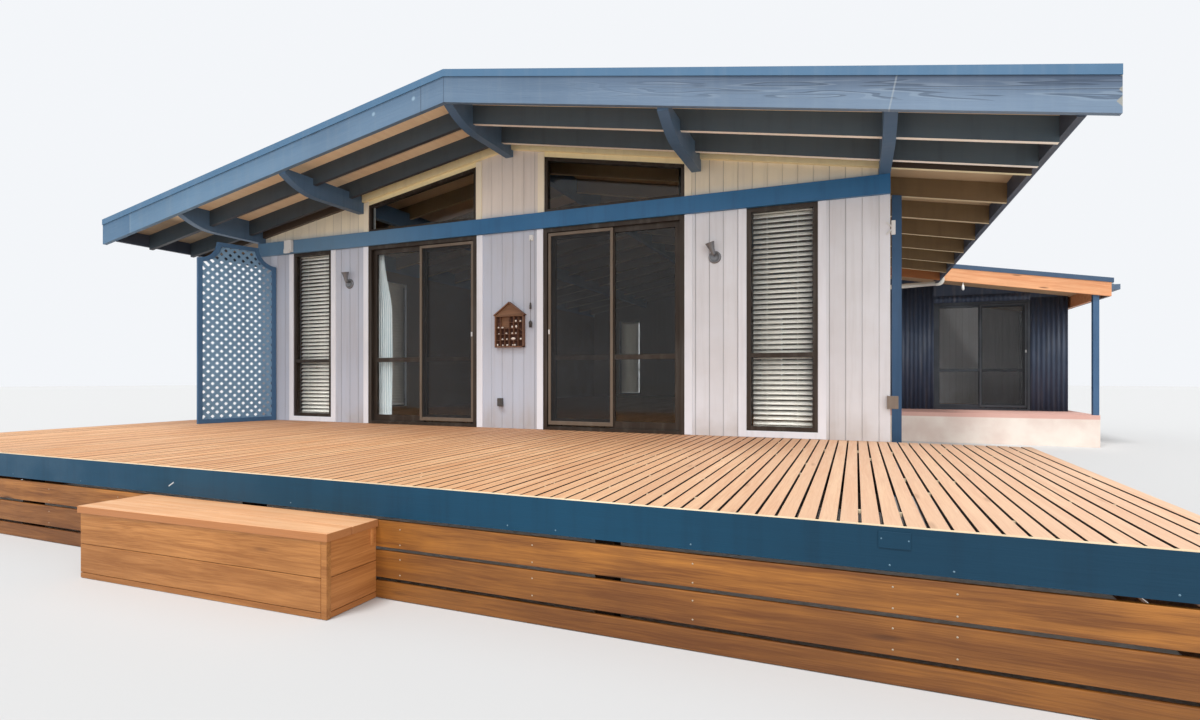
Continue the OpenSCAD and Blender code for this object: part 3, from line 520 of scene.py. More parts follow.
def barge_finish():
    """Weathered blue: greyer, paler below and cracked along the grain at the right, darker just under the cap as
    a painted shadow of the cap, with three bare corners at its very end, two pale knots left of the ridge,
    upright joints and one slanting joint where lengths of board meet. level is a height that follows the slope."""
    start("barge_blue")
    x, y, z = split(upright())
    wear, wood = wear_of(1.1, 0.25), planks("X", FALL, 0.7)
    level = z + abs(x) * FALL
    rings = calc("FRACT", noise(add("CombineXYZ", x * 0.55, 0.0, level * 10.0), 1.0, 2.0, 0.45) * 11.0)
    rubbed = ramp(x, 1.0, 3.4, 0.1, 1.0) * within(level, RIDGE - 0.165, RIDGE - 0.06, 0.03)
    cracked = rubbed * within(rings, 0.44, 0.56, 0.07)
    # The coat that darkens the board just under the cap is a painted shadow of the cap.
    tint = layers(
        rgb(84, 122, 152), (ramp(x, -4.5, 4.0), rgb(84, 102, 126)), (wear["Blotch"] * 0.3, rgb(58, 80, 104)),
        (wear["Streak"] * 0.2, rgb(120, 134, 144)), (wood["Figure"] * 0.14, rgb(132, 152, 170)),
        (wood["Knot"] * 0.5, rgb(40, 54, 74)), (wear["Chip"], rgb(150, 164, 172)),
        (rubbed * within(rings, 0.62, 0.74, 0.08) * 0.22, rgb(170, 184, 196)),
        (below(level, RIDGE - 0.2, RIDGE - 0.03, 0.5) * ramp(x, 0.5, 4.5, 0.3, 1.0), rgb(136, 160, 184)),
        (ramp(level, RIDGE - 0.13, RIDGE - 0.02, 0.0, 0.65) * ramp(x, 0.5, 4.5, 0.2, 1.0), rgb(66, 82, 104)),
        (cracked * 0.42, rgb(40, 54, 74)), (below(x, -4.412, -4.408, 0.45), rgb(48, 84, 116)))
    for knot_x, drop in ((-0.334, 0.1), (-0.8, 0.085)):
        off = distance(x - knot_x, 0.0, level - (RIDGE - drop))
        tint = mix(below(off, 0.008, 0.026, 0.6), tint, rgb(160, 188, 208))
    front = below(y, 0.0, 0.1, 0.75)
    for drop, size in ((0.012, 0.016), (0.105, 0.018), (0.175, 0.03)):
        near = x - abs(level - (RIDGE - drop)) * 0.9 + wood["Figure"] * 0.008
        tint = mix(ramp(near, 4.922 - size, 4.926 - size) * front, tint, rgb(164, 160, 146))
    lean = x - (z - 3.09) * 0.21
    end_joint, ridge_joint, slant_joint = [
        below(abs(at - middle), half_width * 0.4, half_width)
        for at, middle, half_width in ((x, -4.41, 0.006), (x, -0.25, 0.004), (lean, 3.67, 0.008))]
    peak = below(abs(x), 0.002, 0.004)
    tint = layers(tint, ((end_joint | slant_joint) * 0.34, rgb(176, 184, 188)),
                  (ridge_joint * 0.7, rgb(30, 42, 58)), (peak * 0.6, rgb(40, 56, 76)))
    height = wear["Height"] + wood["Height"] * 0.5 - cracked * 1.2 - (peak | (ridge_joint | slant_joint))
    return connect(tint, spread(wear["Blotch"], 0.5, 0.7), height, 0.0015)


dress(barge_finish(), "barge_boards")
wing_roof = (lambda x, y, z: within(y, 5.5, 10.9) * ramp(x, 3.7, 3.75), rgb(58, 82, 108))
dress(metal_paint("cap_blue", rgb(76, 114, 146), rough=0.42, metallic=0.1, dust=0.12, patch=wing_roof),
      "roof_caps", "ridge_cap")
print("blue timber dressed", len(dressed))

# %% [markdown]
# The rafters under the overhang are dark at the front. Behind, their cream paint is drawn brown, as painted
# shade. Each has a pale lower edge, because only the side faces were given the dark colour, but left of the ridge
# the front rafters' lower edges are drawn dark, as painted shade. Faces that look down read as cream, from the
# normal in object coordinates. The front rafters are drawn darker towards the left and lighter towards the right,
# as painted light and shade. The last one on the right, before the porch, is bare orange timber like the porch's
# own. The lining between them is sheets.

# %% Rafters, lining and fascias
# Left of the ridge the front rafters' lower edges are drawn dark: painted shade.
shaded_left_edges = (lambda x, y, z: below(facing_up(), -0.9, -0.7) * below(x, 0.0, 0.01), rgb(52, 54, 60))
last_rafter = (lambda x, y, z: within(y, 5.7, 5.83) * within(x, 3.6, 4.8), rgb(160, 98, 52))
# The front rafters are drawn darker to the left and lighter to the right: painted light and shade.
dress(paint("rafter_navy", rgb(66, 80, 90), rgb(40, 44, 54), fall=FALL, rough=0.5, under=rgb(226, 220, 208),
            painted_light_ramp=(-4.5, 4.5, 0.72, 1.35), patch=shaded_left_edges), "front_rafters")
# Behind the wall line the rafters' cream paint is drawn brown: painted shade.
dress(paint("rafter_shaded_cream", rgb(122, 98, 66), rgb(80, 62, 42), fall=FALL, rough=0.55,
            under=rgb(214, 190, 150), patch=last_rafter), "roof_rafters")
dress(paint("fascia_navy", rgb(62, 70, 84), rgb(36, 42, 52), along="Y", rough=0.42), "side_fascias")


def lining_finish():
    """Pink tan ceiling lining in sheets, with a dark joint along the house every 1.2 m, drawn darker as painted
    shade behind the wall line, beyond the right wall and at the far left.
    """
    start("lining_tan")
    x, y, _ = split(upright())
    lines = use(joints, Across=y + 0.4, Pitch=1.2, Gap=0.006)
    wear, wood = wear_of(1.3), planks("Y", FALL, 0.1, 0.8)
    # Three coats are painted shade: behind the wall line, beyond the right wall and at the far left.
    tint = layers(
        rgb(255, 238, 204), (ramp(y, -0.02, 0.0), rgb(222, 190, 150)),
        (ramp(x, 3.6, 3.8, 0.0, 0.35), rgb(150, 118, 84)), (below(x, -4.15, -3.95, 0.8), rgb(48, 42, 38)),
        (wood["Figure"] * 0.3, rgb(214, 184, 148)), (wear["Blotch"] * 0.25, rgb(196, 160, 122)),
        (lines["Joint"] * 0.6, rgb(140, 112, 88)))
    return connect(tint, spread(wood["Figure"], 0.5, 0.65), lines["Height"], 0.002)


dress(lining_finish(), "roof_panels")
dress(timber("porch_orange", rgb(242, 178, 128), rgb(216, 140, 92), fall=WING_FALL, rough=0.5), "porch_timbers")
print("rafters and lining dressed", len(dressed))

# %% [markdown]
# Metal and smaller solids: gutters, door and window frames in dark bronze, and the slab, floor and base that the
# house stands on.

# %% Small finishes on the solids
def concrete_finish():
    """Pinkish concrete: broad stains, fine grit and a few pores, and a pinker top edge."""
    start("slab_concrete")
    wear, grit = wear_of(2.0, 0.1), noise(upright(), 260.0, 2.0, 0.6)
    edge = ramp(split(upright())[2], WING_FLOOR - 0.075, WING_FLOOR - 0.065)
    tint = layers(rgb(250, 238, 226), (wear["Blotch"], rgb(234, 214, 202)),
                  (ramp(grit, 0.35, 0.65) * 0.3, rgb(184, 164, 154)), (edge * 0.8, rgb(214, 158, 144)))
    return connect(tint, ramp(grit, 0.3, 0.7, 0.75, 0.95), grit, 0.0012)


def board_finish(name, across, light, dark, pitch, gap):
    """Laid boards: grain along, joints across, one tone for each board."""
    start(name)
    lines = use(joints, Across=split(upright())["XYZ".index(across)], Pitch=pitch, Gap=gap)
    wood = planks("Y" if across == "X" else "X", seed=lines["Tone"])
    tint = layers(light, (wood["Figure"], dark), (lines["Tone"] * 0.35, dark),
                  (lines["Joint"] * 0.85, shade(dark, 0.25)))
    return connect(tint, spread(wood["Figure"], 0.5, 0.65), lines["Height"], 0.003)


dress(concrete_finish(), "wing_slab")
dress(board_finish("base_boards", "Z", rgb(110, 92, 74), rgb(78, 62, 48), 0.155, 0.012), "house_base")
dress(board_finish("floor_boards", "X", rgb(196, 150, 104), rgb(150, 106, 66), 0.085, 0.002), "main_floor")


def wing_door(x, y, z):
    """Where the frames round the wing's door are, which are greyer."""
    return within(y, 7.0, 8.5)


dress(metal_paint("bronze_frame", rgb(56, 46, 38), metallic=0.5, dust=0.22, patch=(wing_door, rgb(54, 58, 64))),
      "door_frames", "fixed_sashes", "left_slider", "right_slider", "wing_slider", "window_frames")
dress(metal_paint("gutter_grey", rgb(84, 102, 124), metallic=0.2, dust=0.2), "gutters")
print("dressed", len(dressed))

# %% [markdown]
# Glass keeps a plain transmission of 1 and its own tint. Dust on the panes comes through
# roughness only, because colour on glass would look like film. A solid pane throws a full shadow
# in a ray tracer, which real glass does not, so shadow rays pass through it as if through air.

# %% Glass
start("clear_glass", Transmission_Weight=1.0, IOR=1.3, Metallic=0.0)
haze = wear_of(2.2)
glass = connect(mix(haze["Streak"] * 0.2, rgb(248, 250, 249), rgb(228, 234, 232)),
                spread(haze["Blotch"], 0.015, 0.06))
pane = Wire(tree.nodes["Principled BSDF"].outputs[0])
air = add("BsdfTransparent", (0.97, 0.98, 0.98, 1))
plug(add("MixShader", add("LightPath", out=1), pane, air), tree.nodes["Material Output"].inputs["Surface"])
dress(glass, "window_panes", "left_slider_pane", "right_slider_pane", "wing_slider_pane")
print("glass", glass.name)

# %% [markdown]
# New pieces are meshes from whole arrays. Boards and bars are boxes: eight corners and six outward sides for
# every row of a table. Sheets are grids between two edges, pushed out by a wave. Turned parts are a profile
# carried round an axis. A float called tone marks each board, and on the curtain it marks the depth of the folds,
# for painted shade.

# %% Mesh helpers
CORNERS = np.array([[0, 0, 0], [1, 0, 0], [1, 1, 0], [0, 1, 0], [0, 0, 1], [1, 0, 1], [1, 1, 1], [0, 1, 1]])
SIDES = np.array([[0, 3, 2, 1], [4, 5, 6, 7], [0, 1, 5, 4], [1, 2, 6, 5], [2, 3, 7, 6], [3, 0, 4, 7]])


def make_piece(name, shape, finish, body="house", bevel=0.0, wall=0.0, smooth=False, tones=None,
               stands_for=None):
    """A mesh object on its body, from a shape: arrays of points and of four sided faces."""
    points, faces = np.asarray(shape[0], float), np.asarray(shape[1], np.int32)
    mesh = bpy.data.meshes.new(name)
    mesh.vertices.add(len(points))
    mesh.vertices.foreach_set("co", points.ravel())
    mesh.loops.add(faces.size)
    mesh.loops.foreach_set("vertex_index", faces.ravel())
    mesh.polygons.add(len(faces))
    mesh.polygons.foreach_set("loop_start", np.arange(len(faces), dtype=np.int32) * 4)
    mesh.polygons.foreach_set("use_smooth", np.full(len(faces), smooth))
    if tones is not None:
        mesh.attributes.new("tone", "FLOAT", "POINT").data.foreach_set("value", np.asarray(tones, np.float32))
    mesh.update(calc_edges=True)
    mesh.validate()
    mesh.materials.append(finish)
    piece = bpy.data.objects.new(name, mesh)
    bpy.context.scene.collection.objects.link(piece)
    if wall:
        shell = piece.modifiers.new("wall", "SOLIDIFY")
        shell.thickness, shell.offset = wall, -1
    if bevel:
        edge = piece.modifiers.new("edge", "BEVEL")
        edge.width, edge.segments, edge.limit_method = bevel, 2, "ANGLE"
    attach(piece, body)
    if stands_for:
        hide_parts(stands_for)
        dressed.add(stands_for)
    print(name, len(points), "points", len(faces), "faces")
    return piece


def copies(faces, size, count):
    """The faces again for each of count shapes of size points."""
    return (faces[None] + size * np.arange(count)[:, None, None]).reshape(-1, 4)


def blocks(table):
    """Boxes from rows of low corner and high corner: corner = low + (high - low) * 0 or 1."""
    table = np.asarray(table, float).reshape(-1, 6)
    low, high = table[:, None, :3], table[:, None, 3:]
    return (low + (high - low) * CORNERS[None]).reshape(-1, 3), copies(SIDES, 8, len(table))


def joined(*shapes):
    """Several shapes in one."""
    sizes = np.cumsum([0] + [len(points) for points, _ in shapes[:-1]])
    return (np.concatenate([points for points, _ in shapes]),
            np.concatenate([faces + size for (_, faces), size in zip(shapes, sizes)]))


def grid(rows, columns, wrap=False):
    """Faces of a grid of points; wrap closes each row on itself."""
    i, j = np.meshgrid(np.arange(rows - 1), np.arange(columns if wrap else columns - 1), indexing="ij")
    k = (j + 1) % columns
    return np.stack([i * columns + j, i * columns + k, (i + 1) * columns + k, (i + 1) * columns + j],
                    axis=-1).reshape(-1, 4)


def turned(profile, centre, axis, sides=32):
    """A profile of (radius, distance along the axis), carried round the axis. Points are
    centre + d * axis + r * (cos t * u + sin t * v), with u, v square to the axis."""
    axis = np.asarray(axis, float) / np.linalg.norm(axis)
    u = np.cross(axis, [0.3, 0.5, 0.81])
    u /= np.linalg.norm(u)
    v = np.cross(axis, u)
    t = np.linspace(0, 2 * np.pi, sides, endpoint=False)
    profile = np.asarray(profile, float)
    spokes = np.cos(t)[:, None] * u + np.sin(t)[:, None] * v
    points = np.asarray(centre) + profile[:, 1, None, None] * axis + profile[:, 0, None, None] * spokes
    return points.reshape(-1, 3), grid(len(profile), sides, wrap=True)


# %% [markdown]
# The deck is of narrow boards, about 67 mm wide with a dark gap of 11 mm, that run from the house
# to the front edge. Each is a real board here with eased edges, because the gaps are what the eye
# reads first. Nail heads show in rows where the bearers are, and in some gaps there a pale packer
# shows just below the boards.

# %% Deck boards
DECK_PITCH, DECK_GAP, GAP_AT, RIGHT_BOARDS, NAILS_AT = 0.0776, 0.011, 3.760, 12, -3.0975
deck_low, deck_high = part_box("deck_floor")


def deck_finish():
    """Pale boards, paler towards the right, with painted shade of the roof near the wall, sides drawn nearly
    black as painted shade in the gaps, and nail heads in rows.
    """
    start("deck_boards")
    x, y, _ = split(upright())
    board = board_tone()
    wood, wear = planks("Y", seed=board), wear_of(0.9)
    dots = use(nails, U=x - GAP_AT, V=y - NAILS_AT, Pitch_U=DECK_PITCH / 2, Pitch_V=0.425, Radius=0.0032)
    aside = abs(split(add("TexCoord", out=1))[0])
    inner = within(x, deck_low[0] + 0.01, deck_high[0] - 0.01)
    # Painted shade: browner near the wall for the roof's shade, and nearly black on the boards' sides for the
    # shade in the gaps.
    tint = layers(
        rgb(246, 200, 152), (wood["Figure"], rgb(204, 140, 90)), (board * 0.5, rgb(202, 142, 96)),
        (wear["Blotch"] * 0.3, rgb(196, 156, 122)), (ramp(x, 1.2, 4.0, 0.0, 0.5), rgb(238, 206, 180)),
        (ramp(y, -1.8, -0.2) * ramp(x, 2.6, 3.4, 0.7, 0.2), rgb(158, 110, 76)),
        (wood["Knot"] * 0.3, rgb(120, 74, 44)), (dots["Dot"] * 0.8, rgb(226, 222, 214)),
        (ramp(aside, 0.75, 0.95) * inner, rgb(26, 18, 14)))
    return connect(tint, spread(wood["Figure"], 0.55, 0.75), wood["Height"], 0.0012)


right_pitch = (deck_high[0] + DECK_GAP / 2 - GAP_AT) / RIGHT_BOARDS
gaps = np.concatenate([np.arange(GAP_AT, deck_low[0] + 0.03, -DECK_PITCH)[::-1],
                       GAP_AT + right_pitch * np.arange(1, RIGHT_BOARDS)])
board_count = len(gaps) + 1
table = np.zeros((board_count, 6))
table[:, 0] = np.concatenate([[deck_low[0]], gaps + DECK_GAP / 2])
table[:, 3] = np.concatenate([gaps - DECK_GAP / 2, [deck_high[0]]])
table[:, 1], table[:, 4] = deck_low[1], deck_high[1]
table[:, 2], table[:, 5] = deck_low[2], deck_high[2] - 0.0015 * rng.random(board_count)
make_piece("deck_boards", blocks(table), deck_finish(), bevel=0.0025,
           tones=np.repeat(rng.random(board_count), 8), stands_for="deck_floor")
packer_x, packer_y = np.meshgrid(gaps, [-2.99, -2.885, -2.46, -2.04, -1.6, -1.18, -0.75, -0.33])
some = rng.random(packer_x.size) < 0.16
middles = np.column_stack([packer_x.ravel(), packer_y.ravel(), np.full(packer_x.size, DECK - 0.01125)])[some]
half_packer = np.array([DECK_GAP / 2 + 0.0005, 0.005, 0.00875])
pale_wood = timber("pale_wood", rgb(250, 230, 196), rgb(230, 204, 166))
make_piece("deck_packers", blocks(np.hstack([middles - half_packer, middles + half_packer])), pale_wood)

# %% [markdown]
# The step is a low box before the deck: two wide boards on top, with darker edges and a line between them, over
# front and end boards that meet at a corner post. The boards' own edges are eased, as on planed timber, and the
# joints between them are dark lines. Its front is not quite parallel to the deck. The skirting below the deck is
# of wide orange boards, with the timber behind them drawn nearly black as painted shade under the deck. The
# lowest boards of step and skirting are darker near the ground: wet wood, and painted shade.

# %% Step and skirting
SKEW, FRONT_SHARE = 0.14, 0.47
(sx0, sy0, sz0), (sx1, sy1, sz1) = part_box("step_top")


def askew(shape):
    """Draws the step's right end 56 mm nearer the deck."""
    points = np.array(shape[0], float)
    share = (points[:, 0] - sx0) / (sx1 - sx0)
    points[:, 1] = sy1 + (points[:, 1] - sy1) * (1 - SKEW * share)
    return points, shape[1]


def step_timber(name, light, dark, **values):
    """The step's oiled boards, each with its own tone."""
    return timber(name, light, dark, rough=0.5, toned=True, **values)


cut = sy0 + FRONT_SHARE * (sy1 - sy0)
make_piece("step_boards", askew(blocks([[sx0, sy0, sz0, sx1, cut - 0.002, sz1],
                                        [sx0, cut + 0.002, sz0, sx1, sy1, sz1 - 0.001]])),
           step_timber("step_boards", rgb(244, 192, 144), rgb(220, 158, 108), edge=rgb(178, 114, 64)),
           bevel=0.003, tones=np.repeat([0.1, 0.6], 8), stands_for="step_top")
# The bearers and stumps are drawn nearly black: painted shade under the deck.
dress(timber("under_timber_shaded", rgb(40, 27, 18), rgb(26, 17, 11), rough=0.8, Specular_IOR_Level=0.1),
      "deck_bearers", "deck_stumps")
skirt_wood = step_timber("skirt_orange", rgb(184, 118, 44), rgb(112, 62, 16), weathered=0.5,
                         grey=rgb(104, 60, 22), damp=0.45)
(kx0, ky0, _), (kx1, ky1, _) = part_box("deck_skirt")
skirt_table = []
for low, high in ((-0.332, -0.193), (-0.490, -0.351), (-0.598, -0.509)):
    low, high = DECK + low, DECK + high
    skirt_table += [[kx0, ky0, low, kx1, ky0 + 0.022, high], [kx0, ky0 + 0.023, low, kx0 + 0.022, ky1, high],
                    [kx1 - 0.022, ky0 + 0.023, low, kx1, ky1, high]]
make_piece("skirt_boards", blocks(skirt_table), skirt_wood, bevel=0.003,
           tones=np.repeat([0.1, 0.2, 0.15, 0.8, 0.7, 0.9, 0.4, 0.5, 0.3], 8), stands_for="deck_skirt")
(bx0, by0, _), (bx1, by1, bz1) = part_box("step_box")
levels = bz1 - np.array([[0, 0.176], [0.179, 0.34], [0.343, bz1 - 0.001]])
front_table = [[bx0, by0, low, bx1 - 0.036, by0 + 0.022, high] for high, low in levels]
front_table.append([bx1 - 0.034, by0, 0.001, bx1, by0 + 0.034, bz1])
make_piece("step_front", askew(blocks(front_table)),
           step_timber("step_front_boards", rgb(206, 140, 74), rgb(150, 92, 40), damp=0.3),
           bevel=0.002, tones=np.repeat([0.15, 0.4, 0.7, 0.3], 8), stands_for="step_box")
end_table = [[x, by0 + y, low, x + 0.022, by1, high]
             for x, y in ((bx0, 0.024), (bx1 - 0.025, 0.036)) for high, low in levels]
end_table.append([bx1 - 0.004, by1 - 0.05, bz1 - 0.09, bx1 + 0.004, by1 - 0.03, bz1])
make_piece("step_ends", askew(blocks(end_table)),
           step_timber("step_end_boards", rgb(222, 150, 84), rgb(170, 104, 48), along="Y", damp=0.3),
           bevel=0.002, tones=np.repeat([0.1, 0.5, 0.8, 0.2, 0.6, 0.9, 0.0], 8))

# %% [markdown]
# A deep teal band runs round the deck and covers the ends of its boards, all but a thin pale strip
# at the top. It is thin painted boards with nail heads, a pale scratch above the step and a small
# plain plate with two screws near its right end. The skirting boards below are nailed too, in
# pairs. A nail head is a low turned dome.

# %% Deck band
def scratch(x, y, z):
    """A short pale mark that rises to the right."""
    return within(x, -0.505, -0.461) * within(z - 0.489 - (x + 0.483) * 0.55, -0.003, 0.003)


# The band is drawn darker towards its right end: painted shade.
band_teal = paint("band_teal", rgb(16, 66, 92), rgb(12, 38, 56), rough=0.38, blotches=0.45,
                  painted_light_ramp=(2.2, 3.6, 1.0, 0.75), patch=(scratch, rgb(196, 204, 208)), Specular_IOR_Level=0.25)
BAND_LOW, BAND_TOP = DECK - 0.172, DECK - 0.006
band_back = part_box("deck_band")[1][1]
left_x, right_x, edge_y = deck_low[0] - 0.003, deck_high[0] + 0.003, deck_low[1]
front_y, face_y = edge_y - 0.005, edge_y - 0.0005
make_piece("band_boards", blocks([
    [left_x, front_y, BAND_LOW, right_x, face_y, BAND_TOP],
    [left_x, edge_y, BAND_LOW, right_x, edge_y + 0.02, DECK - 0.024],
    [left_x, edge_y, BAND_LOW, deck_low[0] - 0.0005, band_back, BAND_TOP],
    [deck_high[0] + 0.0005, edge_y, BAND_LOW, right_x, band_back, BAND_TOP]]),
    band_teal, bevel=0.0015, stands_for="deck_band")
# The pale strip stands for the band's sunlit top edge: bare timber, drawn pale partly as a painted highlight.
make_piece("deck_edge", blocks([[left_x, front_y, BAND_TOP, right_x, face_y, DECK - 0.0005]]), pale_wood)


def nail_row(spots, radius=0.0038, thick=0.002):
    """Nail heads at those spots, facing -Y."""
    profile = [[radius, 0], [radius, thick * 0.2], [radius * 0.6, thick * 0.8], [0, thick]]
    return joined(*[turned(profile, spot, (0, -1, 0), 10) for spot in spots])


band_spots = [(x, front_y, 0.451) for x in (1.91, 2.163, 2.794, 3.552, 3.763, 4.4, 0.52, -1.4, -2.2, -3.2)]
band_spots += [(3.523, front_y - 0.003, 0.549), (3.616, front_y - 0.003, 0.547)]
skirt_spots = [(x, ky0, DECK + z)
               for x in (1.27, 2.037, 2.8, 3.563, 3.775, 4.55, -1.02, -1.78, -2.55, -3.31, -4.07)
               for z in (-0.232, -0.312, -0.387, -0.467)]
make_piece("band_nails", nail_row(band_spots), metal_paint("nail_teal", rgb(96, 130, 150)),
           smooth=True)
make_piece("skirt_nails", nail_row(skirt_spots), metal_paint("nail_dull", rgb(176, 160, 138), rough=0.5),
           smooth=True)
make_piece("band_plate", blocks([[3.512, front_y - 0.004, 0.513, 3.624, front_y + 0.0005, 0.577]]),
           band_teal, bevel=0.0025)

# %% [markdown]
# The roof is corrugated metal. Its wave has a pitch of 76 mm and is 17 mm deep, and it runs down
# the slope. Each sheet is a grid between the eave line and the ridge line, raised by half the
# depth times one minus the cosine along the house, and given a thin wall. The wing's walls wear
# the same sheet upright, in dark navy. The solid walls stay behind it, so the skin is laid on
# their faces in strips that leave the door and the window open and end at the roof's slope.

# %% Corrugated roof and cladding
SHEETS, RAFTER, CLEAR = 0.023, 0.09, 0.0012


def corrugated(low_start, low_end, high_start, high_end, out, pitch=0.076, depth=0.017, steps=8):
    """A sheet between two edge lines. At distance s along them, both are pushed along out by
    depth / 2 * (1 - cos(2 pi s / pitch))."""
    low_start, low_end, high_start, high_end = np.array([low_start, low_end, high_start, high_end], float)
    length = np.linalg.norm(low_end - low_start)
    count = max(3, int(round(length / pitch * steps)) + 1)
    s = np.linspace(0, length, count)
    wave = (depth / 2 * (1 - np.cos(2 * np.pi * s / pitch)))[:, None] * np.asarray(out, float)
    share = (s / length)[:, None]
    low = low_start + share * (low_end - low_start) + wave
    high = high_start + share * (high_end - high_start) + wave
    return np.concatenate([low, high]), grid(2, count)


def roof_sheet(eave_x, ridge_x, y0, y1, fall):
    """A sheet on the underside's plane, from y0 to y1."""
    ends = [[x, y, RIDGE - 0.0222 - fall * abs(x)] for x in (eave_x, ridge_x) for y in (y0, y1)]
    return corrugated(*ends, (0, 0, 1))


def wall_skin(first, last, z0, z1, out):
    """An upright sheet from one (x, y) to another."""
    return corrugated((*first, z0), (*last, z0), (*first, z1), (*last, z1), out)


def wing_top(x):
    """Height of the wing's roof underside at x."""
    return RIDGE - SHEETS - RAFTER - WING_FALL * abs(x) - CLEAR


ROOF_FRONT, ROOF_REAR = -1.115, 11.355
make_piece("roof_corrugated",
           joined(roof_sheet(-4.8, -0.02, ROOF_REAR, ROOF_FRONT, FALL),
                  roof_sheet(4.8, 0.02, ROOF_FRONT, PORCH, FALL),
                  roof_sheet(7.295, 0.02, PORCH + 0.045, ROOF_REAR, WING_FALL)),
           metal_paint("roof_blue_grey", rgb(112, 132, 150), rough=0.4, metallic=0.2, dust=0.4),
           wall=0.001, smooth=True, stands_for="roof_sheets")
DOOR0, DOOR1, DOOR_TOP = 4.828, 6.402, WING_FLOOR + 2.044
skins = [wall_skin((x0, WING_Y), (x1, WING_Y), z0, wing_top(x1), (0, -1, 0))
         for x0, x1, z0 in ((HALF + 0.002, DOOR0, WING_FLOOR), (DOOR1, WING_X, WING_FLOOR),
                            (DOOR0, DOOR1, DOOR_TOP))]
WINDOW0, WINDOW1, SIDE_TOP = 9.09, 9.71, wing_top(WING_X)
skins += [wall_skin((WING_X, y0), (WING_X, y1), z0, z1, (1, 0, 0))
          for y0, y1, z0, z1 in ((WING_Y, WINDOW0, WING_FLOOR, SIDE_TOP), (WINDOW1, 11.0, WING_FLOOR, SIDE_TOP),
                                 (WINDOW0, WINDOW1, WING_FLOOR, DECK + 0.06),
                                 (WINDOW0, WINDOW1, DECK + 1.76, SIDE_TOP))]
navy_steel = metal_paint("corrugated_navy", rgb(56, 70, 92), rough=0.42, metallic=0.1)
make_piece("wing_cladding", joined(*skins), navy_steel, wall=0.001, smooth=True)
dress(navy_steel, "wing_front_wall", "wing_side_wall", "wing_infills")

# %% [markdown]
# White trim boards frame every opening of the front: narrow ones beside the doors and the raked windows, wider
# ones round the tall windows, over a low white sill. They are thin planed boards, so they are boxes with eased
# edges, 12 mm proud of the wall. Above the head beam they are drawn cream, as painted warm light.

# %% White trims
ROOF_DEPTH, RAKE_DEPTH = 0.113, 0.18


def gable_height(x):
    """Height of the wall-line rafter's underside at x."""
    return RIDGE - ROOF_DEPTH - RAKE_DEPTH - 0.002 - FALL * abs(x)


# Cream above the head beam: painted warm light from the lining.
trim_white = paint("trim_white", rgb(234, 236, 243), rgb(160, 150, 140), along="Z", rough=0.4, blotches=0.2,
                   streaks=0.15, patch=(lambda x, y, z: ramp(z, BEAM_TOP - 0.02, BEAM_TOP, 0.0, 0.85),
                                        rgb(240, 226, 196)))
trims = [[min(side * x0, side * x1), -0.012, z0 + 0.001, max(side * x0, side * x1), 0.001, z1 - 0.001]
         for side in (-1, 1)
         for x0, x1, z0, z1 in ((0.334, 0.408, DECK, HEAD), (1.922, 1.996, DECK, HEAD), (2.43, 2.503, DECK, HEAD),
                                (3.127, 3.195, DECK, HEAD), (2.503, 3.127, DECK, DECK + 0.06),
                                (0.344, 0.418, BEAM_TOP, gable_height(0.418)),
                                (1.922, 1.99, BEAM_TOP, gable_height(1.99)))]
make_piece("front_trims", blocks(trims), trim_white, bevel=0.002)

# %% [markdown]
# Behind the tall windows hang white blinds of flat slats, 46 mm apart. Each slat is a shallow
# arched strip with its outer edge down, so that its lit side faces out, and light and dark lines
# alternate as they do on a half closed blind. The windows that the front does not show have the
# same blinds, closed.

# %% Blinds
SLAT_PITCH, SLAT_WIDTH, SLAT_ARCH, HALF_BLIND = 0.0464, 0.05, 0.003, 0.26


def slats(ends, inward, z0, z1, tilt, rows=4):
    """Slat k at height z: along the line between its ends in plan, and across it, with v from -1
    to 1, pushed inward by v * w / 2 * cos tilt and up by v * w / 2 * sin tilt, plus an arch of
    arch * (1 - v * v) square to it."""
    heights = np.arange(z0, z1, SLAT_PITCH)
    v = np.linspace(-1, 1, rows)
    c, s = math.cos(math.radians(tilt)), math.sin(math.radians(tilt))
    bow = SLAT_ARCH * (1 - v * v)
    deep, high = v * SLAT_WIDTH / 2 * c - bow * s, bow * c + v * SLAT_WIDTH / 2 * s
    points = np.empty((len(heights), rows, 2, 3))
    points[..., :2] = ends[None, None] + deep[None, :, None, None] * inward
    points[..., 2] = heights[:, None, None] + high[None, :, None]
    return points.reshape(-1, 3), copies(grid(rows, 2), rows * 2, len(heights))


def rails(low, high, z_high, z_low):
    """Head rail, bottom rail and two ladder cords, as boxes round the line from low to high."""
    along = (high - low) / np.linalg.norm(high - low)
    side = 1 - along
    table = [[*(low - 0.016 * side), z_high - 0.04, *(high + 0.016 * side), z_high],
             [*(low - 0.01 * side), z_low, *(high + 0.01 * side), z_low + 0.018]]
    for share in (0.24, 0.76):
        cord = low + share * (high - low)
        table.append([*(cord - 0.0015 * along - 0.019 * side), z_low,
                      *(cord + 0.0015 * along - 0.0175 * side), z_high])
    return table


